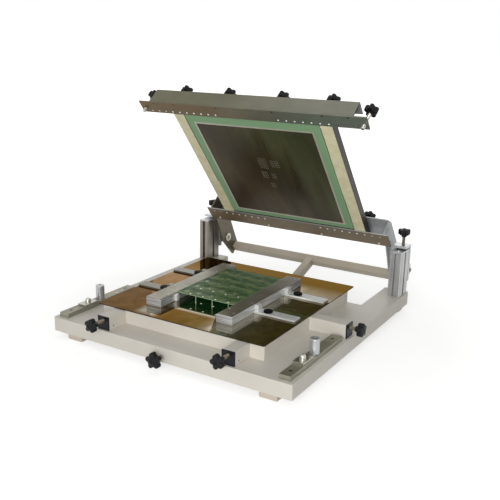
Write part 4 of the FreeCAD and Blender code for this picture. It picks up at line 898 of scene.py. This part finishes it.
smallPiece = {
    # half-profiles in millimetres, from the surface that they sit in
    "drilled": [(1.9, -0.4), (1.9, 0.06), (1.5, 0.1)],
    "rim": [(2.6, -0.3), (2.6, 0.04), (2.3, 0.12), (1.9, 0.06), (1.9, -0.2)],
    "panHead": [(3.6, -0.3), (3.6, 0.9), (3.0, 1.7), (1.9, 2.1), (1.6, 2.1), (1.5, 1.2)],
    "sink": [(4.6, -0.3), (4.6, 0.05), (3.4, 0.12), (3.2, 0.05), (3.2, 0.02)],
    "socket": [(3.3, -0.2), (3.3, 0.1), (2.6, 0.14)],
    "dot": [(1.5, -0.2), (1.5, 0.05), (1.2, 0.12)],
    "pad": [(1.3, -0.2), (1.3, 0.05), (0.9, 0.09)],
    "pin": [(0.9, 0.0), (1.1, 0.6), (0.9, 1.4), (0.7, 15.6), (0.9, 16.4), (0.7, 17.0)],
    "flush": [(2.4, -0.3), (2.4, 0.06), (1.9, 0.1)],
    "slotHead": [(2.4, -0.3), (2.4, 0.5), (1.9, 0.9), (0.8, 0.9), (0.6, 0.4)],
}
smallPieceSteps = 16


def setOn(name, body, shape, spots, axis, finish, size=1.0):
    # turned pieces on their spots, standing along the axis
    rings = [(height, radius) for radius, height in smallPiece[shape]]
    mesh = turnedMesh(name + "_piece", rings, smallPieceSteps)
    mesh.transform(alongAxis(axis))
    setPiece(name, body, mesh, spots, finish, size)


lipHoles = {
    # holes nearer the middle than bright are white and glow, the outer ones pale: painted light seen through the
    # holes
    "under": -1.8, "pitch": 20.0, "first": 81.0, "count": 10, "bright": 205.0,
    "rows": {"front": 491.5, "rear": 121.5}, "rearEnd": 258.0,
    "rearScrews": (78.0, 233.0), "rearScrewRow": 95.0,
    "bendScrews": (72.0, 190.0, 248.0), "bendRow": 513.5,
}
boardDress = {
    "pitch": (33.5, 40.5), "first": (-55.0, 177.5), "count": (4, 5), "dotRows": 2,
    "dotSize": 1.35, "pads": 9, "padStart": 12.0, "padPitch": (3.2, 4.2), "padStray": 0.4,
    "padSize": 0.55, "rim": 4.0, "pins": (-38.0, 6.0, 48.0), "pinY": 173.5,
}
barDress = {
    "railScrews": (20.0, 39.0, 95.0, 232.0, 290.0), "railScrewIn": 9.0,
    "stopScrews": (32.0, 213.0), "stopDots": (44.0, 178.0, 198.0), "dotShift": 4.0,
    "blockScrew": (12.0, 8.0), "capScrew": 15.0,
    # a small bright block on the left rail's inner side: wide, long, ahead of the board, above and below its ends
    "tab": {"wide": 5.0, "long": 9.0, "ahead": 2.0, "lift": 0.3, "drop": 3.0, "gap": 0.05},
}
up, down, right = (0, 0, 1), (0, 0, -1), (1, 0, 0)


def makeLipHoles():
    look = lipHoles
    outward = -clampAxis
    both = [side * (look["first"] + look["pitch"] * k)
            for side in (-1, 1) for k in range(look["count"])]
    # inner holes get the glowing white, outer ones the pale tin: painted light
    near = [x for x in both if abs(x) < look["bright"]]
    far = [x for x in both if abs(x) >= look["bright"]]
    rows = {"front": far, "rear": [x for x in far if abs(x) < look["rearEnd"]]}
    for word, ends in rows.items():
        for label, shape, places, finish, size in (
                ("rims", "rim", near + ends, "stud", 1.0),
                ("holes", "drilled", near, "white", 1.0),
                ("end_holes", "drilled", ends, "tin", 0.8)):
            setOn("%s_lip_%s" % (word, label), "lift", shape,
                  [liftSpot(x, look["rows"][word], look["under"]) for x in places],
                  outward, finish, size=size)
    for name, shape, places, row, finish, size in (
            ("rear_lip_screws", "panHead", "rearScrews", "rearScrewRow", "steel", 0.9),
            ("front_bend_screws", "flush", "bendScrews", "bendRow", "sink", 1.0)):
        setOn(name, "lift", shape,
              [liftSpot(side * x, look[row], look["under"])
               for side in (-1, 1) for x in look[places]], outward, finish, size=size)


def makeApertures():
    # bright cut edges of a generic set of openings: five plain patches of small pads
    foilUnder = min(spot.z for spot in foilSpots) / mm
    pitch = stencilDress["padPitch"]
    deep, shallow = stencilDress["padDepth"]
    spots = []
    for x0, s0, x1, s1 in stencilDress["blocks"]:
        across, along = round((x1 - x0) / pitch[0]), round((s1 - s0) / pitch[1])
        spots += [liftSpot(x0 + (i + 0.5) * pitch[0], s0 + (j + 0.5) * pitch[1],
                           foilUnder - deep) for i in range(across) for j in range(along)]
    wide, long = stencilDress["aperture"]
    work = bmesh.new()
    addBlock(work, liftSpot, (-wide / 2, -long / 2, 0.0), (wide / 2, long / 2, deep - shallow))
    mesh = meshFrom("aperture_piece", work)
    mesh.transform(Matrix.Translation(-liftPlace.translation))
    setPiece("aperture_pads", "lift", mesh, spots, "cutEdge")


def makeBoardDetail():
    look = boardDress
    low, high = machineBox("pcb_panel")
    spots = [(look["first"][0] + look["pitch"][0] * i, look["first"][1] + look["pitch"][1] * j)
             for i in range(look["count"][0]) for j in range(look["dotRows"])]
    for name, z, axis, finish in (("board_dots", high.z, up, "white"),
                                  ("board_dots_under", low.z, down, "litHole")):
        setOn(name, "board", "dot", [machineSpot(x, y, z) for x, y in spots], axis, finish,
              look["dotSize"])
    random.seed(5)
    stray = look["padStray"]
    pads = [(low.x + look["padStart"] + look["pitch"][0] * i
             + look["padPitch"][0] * (k % 3) + random.uniform(-stray, stray),
             low.y + look["padStart"] + look["pitch"][1] * j
             + look["padPitch"][1] * (k // 3) + random.uniform(-stray, stray))
            for i in range(look["count"][0]) for j in range(look["count"][1])
            for k in range(look["pads"])]
    inside = [machineSpot(x, y, high.z) for x, y in pads
              if x < high.x - look["rim"] and y < high.y - look["rim"]]
    setOn("board_pads", "board", "pad", inside, up, "tin", look["padSize"])
    plateTop = machineBox("tool_plate")[1].z
    setOn("board_pins", "table", "pin",
          [machineSpot(x, look["pinY"], plateTop) for x in look["pins"]], up, "pin")


def makeBarDetail():
    look = barDress
    for node in ("left_board_rail", "right_board_rail"):
        low, high = machineBox(node)
        sides = [low.x + look["railScrewIn"], high.x - look["railScrewIn"]]
        if node == "right_board_rail":
            sides.reverse()
        setOn(node + "_screws", bodyOf[node], "slotHead",
              [machineSpot(sides[k % 2], low.y + y, high.z)
               for k, y in enumerate(look["railScrews"])], up, "tin", size=0.6)
    tab = look["tab"]
    low, high = machineBox("left_board_rail")
    front = machineBox("pcb_panel")[0].y - tab["ahead"]
    work = bmesh.new()
    addBlock(work, machineSpot, (high.x + tab["gap"], front - tab["long"], low.z + tab["lift"]),
             (high.x + tab["wide"], front, high.z - tab["drop"]))
    made = finishMesh("board_stop_tab", meshFrom("board_stop_tab", work), "left_rail",
                      material["bright"])
    for side, node in ((-1, "left_stop_bar"), (1, "right_stop_bar")):
        low, high = machineBox(node)
        x = (low.x + high.x) / 2
        for label, shape, shift, places, finish in (
                ("_sinks", "sink", 0.0, "stopScrews", "stud"),
                ("_sockets", "socket", 0.0, "stopScrews", "sink"),
                ("_dots", "dot", look["dotShift"], "stopDots", "tin")):
            setOn(node + label, "base", shape,
                  [machineSpot(x - side * shift, y, high.z) for y in look[places]], up, finish)
    for side in ("left", "right"):
        low, high = machineBox("front_%s_block" % side)
        back, rise = look["blockScrew"]
        setOn(side + "_block_screw", "base", "dot",
              [machineSpot(high.x, low.y + back, low.z + rise)], right, "sink")
    capTop = machineBox("column_caps")[1].z
    caps = []
    for node in ("left_column", "right_column"):
        low, high = machineBox(node)
        caps.append(machineSpot((low.x + high.x) / 2, low.y + look["capScrew"], capTop))
    setOn("column_cap_screws", "base", "panHead", caps, up, "steel", size=0.8)


makeLipHoles()
makeApertures()
makeBoardDetail()
makeBarDetail()
print("screws, holes and dots")


# Balance spring: a close coil with a long wire hook at each end

spring = {
    "wire": 2.0, "pitch": 2.7, "dia": 12.0, "hookRear": 88.0, "hookFront": 14.0,
    # each hook's wire by its height over the coil's middle and its place along it, first from
    # the coil's end and then from the hook's far end
    "rear": ((5.0, 0.0), (2.4, 3.0), (0.0, 7.0)),
    "rearEnd": ((0.0, -4.0), (1.6, 0.0), (4.2, 2.6), (5.0, 5.0)),
    "front": ((5.0, 0.0), (2.4, -3.0), (0.0, -7.0)),
    "frontEnd": ((0.0, 2.0), (1.4, -0.6), (3.4, 0.0)), "hinged": 6.0,
}


def makeCoilTree():
    tree, given = newTree("coiledSpring", {
        "Turns": "Float", "Radius": "Float", "Length": "Float", "Wire": "Float",
        "Material": "Material"})
    spiral = addNode(tree, "CurveSpiral", {"Resolution": 14}, {
        "Rotations": given["Turns"], "Start Radius": given["Radius"],
        "End Radius": given["Radius"], "Height": given["Length"]})
    section = addNode(tree, "CurvePrimitiveCircle", {"Resolution": 8}, {"Radius": given["Wire"]})
    swept = addNode(tree, "CurveToMesh", {"Fill Caps": True}, {
        "Curve": spiral, "Profile Curve": section})
    return endTree(tree, swept, given)


def wireAlong(name, points):
    curve = bpy.data.curves.new(name, "CURVE")
    curve.dimensions = "3D"
    curve.bevel_depth = spring["wire"] / 2 * mm
    curve.bevel_resolution = 3
    curve.use_fill_caps = True
    line = curve.splines.new("NURBS")
    line.points.add(len(points) - 1)
    for point, spot in zip(line.points, points):
        point.co = (*spot, 1)
    line.order_u = 3
    line.use_endpoint_u = True
    holder = addObject(name + "_route", curve)
    bpy.context.view_layer.update()
    graph = bpy.context.evaluated_depsgraph_get()
    mesh = bpy.data.meshes.new_from_object(holder.evaluated_get(graph))
    bpy.data.objects.remove(holder)
    return mesh


def makeSpring():
    low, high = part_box("balance_spring")
    centre = Vector(((low.x + high.x) / 2, 0, (low.z + high.z) / 2))
    start, end = low.y + spring["hookFront"] * mm, high.y - spring["hookRear"] * mm
    made = addObject("spring_coil", bpy.data.meshes.new("spring_coil"))
    runTree(made, makeCoilTree(), {
        "Turns": (end - start) / (spring["pitch"] * mm),
        "Radius": (spring["dia"] - spring["wire"]) / 2 * mm, "Length": end - start,
        "Wire": spring["wire"] / 2 * mm, "Material": material["steel"]})
    made.data.transform(Matrix.Translation(Vector((centre.x, start, centre.z)))
                        @ Matrix.Rotation(-math.pi / 2, 4, "X"))
    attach(made, "base")
    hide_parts("balance_spring")
    hooks = {}
    for word, coilEnd, farEnd in (("rear", end, high.y), ("front", start, low.y)):
        route = [(z, coilEnd + y * mm) for z, y in spring[word]]
        route += [(z, farEnd + y * mm) for z, y in spring[word + "End"]]
        hooks[word] = [centre + Vector((0, y, z * mm)) for z, y in route]
    link = finishMesh("spring_link", wireAlong("spring_link", hooks["rear"]), None,
                      material["steel"])
    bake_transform(link)
    hook = finishMesh("spring_hook", wireAlong("spring_hook", hooks["front"]), "base",
                      material["steel"])


makeSpring()
print("balance spring")


# Floor, light and camera

stage = {
    "floorSize": 60.0, "floorColour": "#D9D9D7", "glow": (0.62, 1.0), "glowReach": (0.45, 1.3),
    "keyPower": 22.5, "keySize": 0.9, "keyPlace": (0.75, -1.95, 0.65), "worldLevel": 0.36,
    "backPower": 10.0, "backSize": 1.8, "backPlace": (-1.2, 2.4, 1.6), "aim": (0, 0, 0.15),
}
camera = {
    # the photo's viewing angle, solved from the base tray's corners
    "azimuth": 31.2, "down": 16.1, "roll": 1.11, "lens": 51.48, "sensor": 36.0,
    "place": (0.823, -1.3635, 0.637),
}


def seenRays(tree, *kinds):
    # 1 for the rays that should meet the white background
    ray = addNode(tree, "LightPath").outputs
    seen = ray[kinds[0]]
    for kind in kinds[1:]:
        seen = addNode(tree, "Math", {"operation": "MAXIMUM"}, {0: seen, 1: ray[kind]})
    return seen


def makeStage():
    half = stage["floorSize"] / 2
    mesh = bpy.data.meshes.new("paleFloor")
    mesh.from_pydata([(x * half, y * half, 0.0) for x, y in ((-1, -1), (1, -1), (1, 1), (-1, 1))],
                     [], [(0, 1, 2, 3)])
    floor = addObject("paleFloor", mesh)
    made = bpy.data.materials.new("paleFloor")
    made.use_nodes = True
    tree = made.node_tree
    tree.nodes.remove(tree.nodes["Principled BSDF"])
    place = addNode(tree, "TexCoord").outputs["Object"]
    away = addNode(tree, "VectorMath", {"operation": "LENGTH"}, {0: place})
    fade = addNode(tree, "MapRange", {
        "From Min": stage["glowReach"][0], "From Max": stage["glowReach"][1],
        "To Min": stage["glow"][0], "To Max": stage["glow"][1]}, {"Value": away})
    level = addNode(tree, "Math", {"operation": "MULTIPLY"}, {
        0: seenRays(tree, "Is Camera Ray", "Is Glossy Ray"), 1: fade})
    flat = addNode(tree, "BsdfDiffuse", {"Color": stage["floorColour"]})
    glow = addNode(tree, "Emission", links={"Strength": level})
    both = addNode(tree, "AddShader", links={0: flat, 1: glow})
    tree.links.new(outputOf(both), tree.nodes["Material Output"].inputs["Surface"])
    mesh.materials.append(made)


def makeLight():
    for word in ("key", "back"):
        data = bpy.data.lights.new(word + "Lamp", "AREA")
        data.energy = stage[word + "Power"]
        data.size = stage[word + "Size"]
        lamp = addObject(word + "Lamp", data)
        lamp.location = stage[word + "Place"]
        towards = Vector(stage["aim"]) - lamp.location
        lamp.rotation_euler = towards.to_track_quat("-Z", "Y").to_euler()
    world = bpy.data.worlds.new("paleRoom")
    bpy.context.scene.world = world
    world.use_nodes = True
    tree = world.node_tree
    seen = seenRays(tree, "Is Camera Ray", "Is Glossy Ray", "Is Transmission Ray")
    level = addNode(tree, "MapRange", {"To Min": stage["worldLevel"]}, {"Value": seen})
    background = tree.nodes["Background"]
    background.inputs["Color"].default_value = (1, 1, 1, 1)
    tree.links.new(outputOf(level), background.inputs["Strength"])


def makeCamera():
    azimuth, pitch, roll = (math.radians(camera[k]) for k in ("azimuth", "down", "roll"))
    look = Vector((-math.sin(azimuth) * math.cos(pitch), math.cos(azimuth) * math.cos(pitch),
                   -math.sin(pitch)))
    across = look.cross(Vector((0, 0, 1))).normalized()
    above = across.cross(look)
    turnedAcross = math.cos(roll) * across + math.sin(roll) * above
    turnedAbove = math.cos(roll) * above - math.sin(roll) * across
    data = bpy.data.cameras.new("viewingAngle")
    data.lens = camera["lens"]
    data.sensor_width = camera["sensor"]
    data.clip_start, data.clip_end = 0.05, 100
    made = addObject("viewingAngle", data)
    made.matrix_world = Matrix.Translation(Vector(camera["place"])) @ Matrix(
        (turnedAcross, turnedAbove, -look)).transposed().to_4x4()
    bpy.context.scene.camera = made


makeStage()
makeLight()
makeCamera()
bpy.context.scene.view_settings.view_transform = "Standard"
print("stage, light and camera")
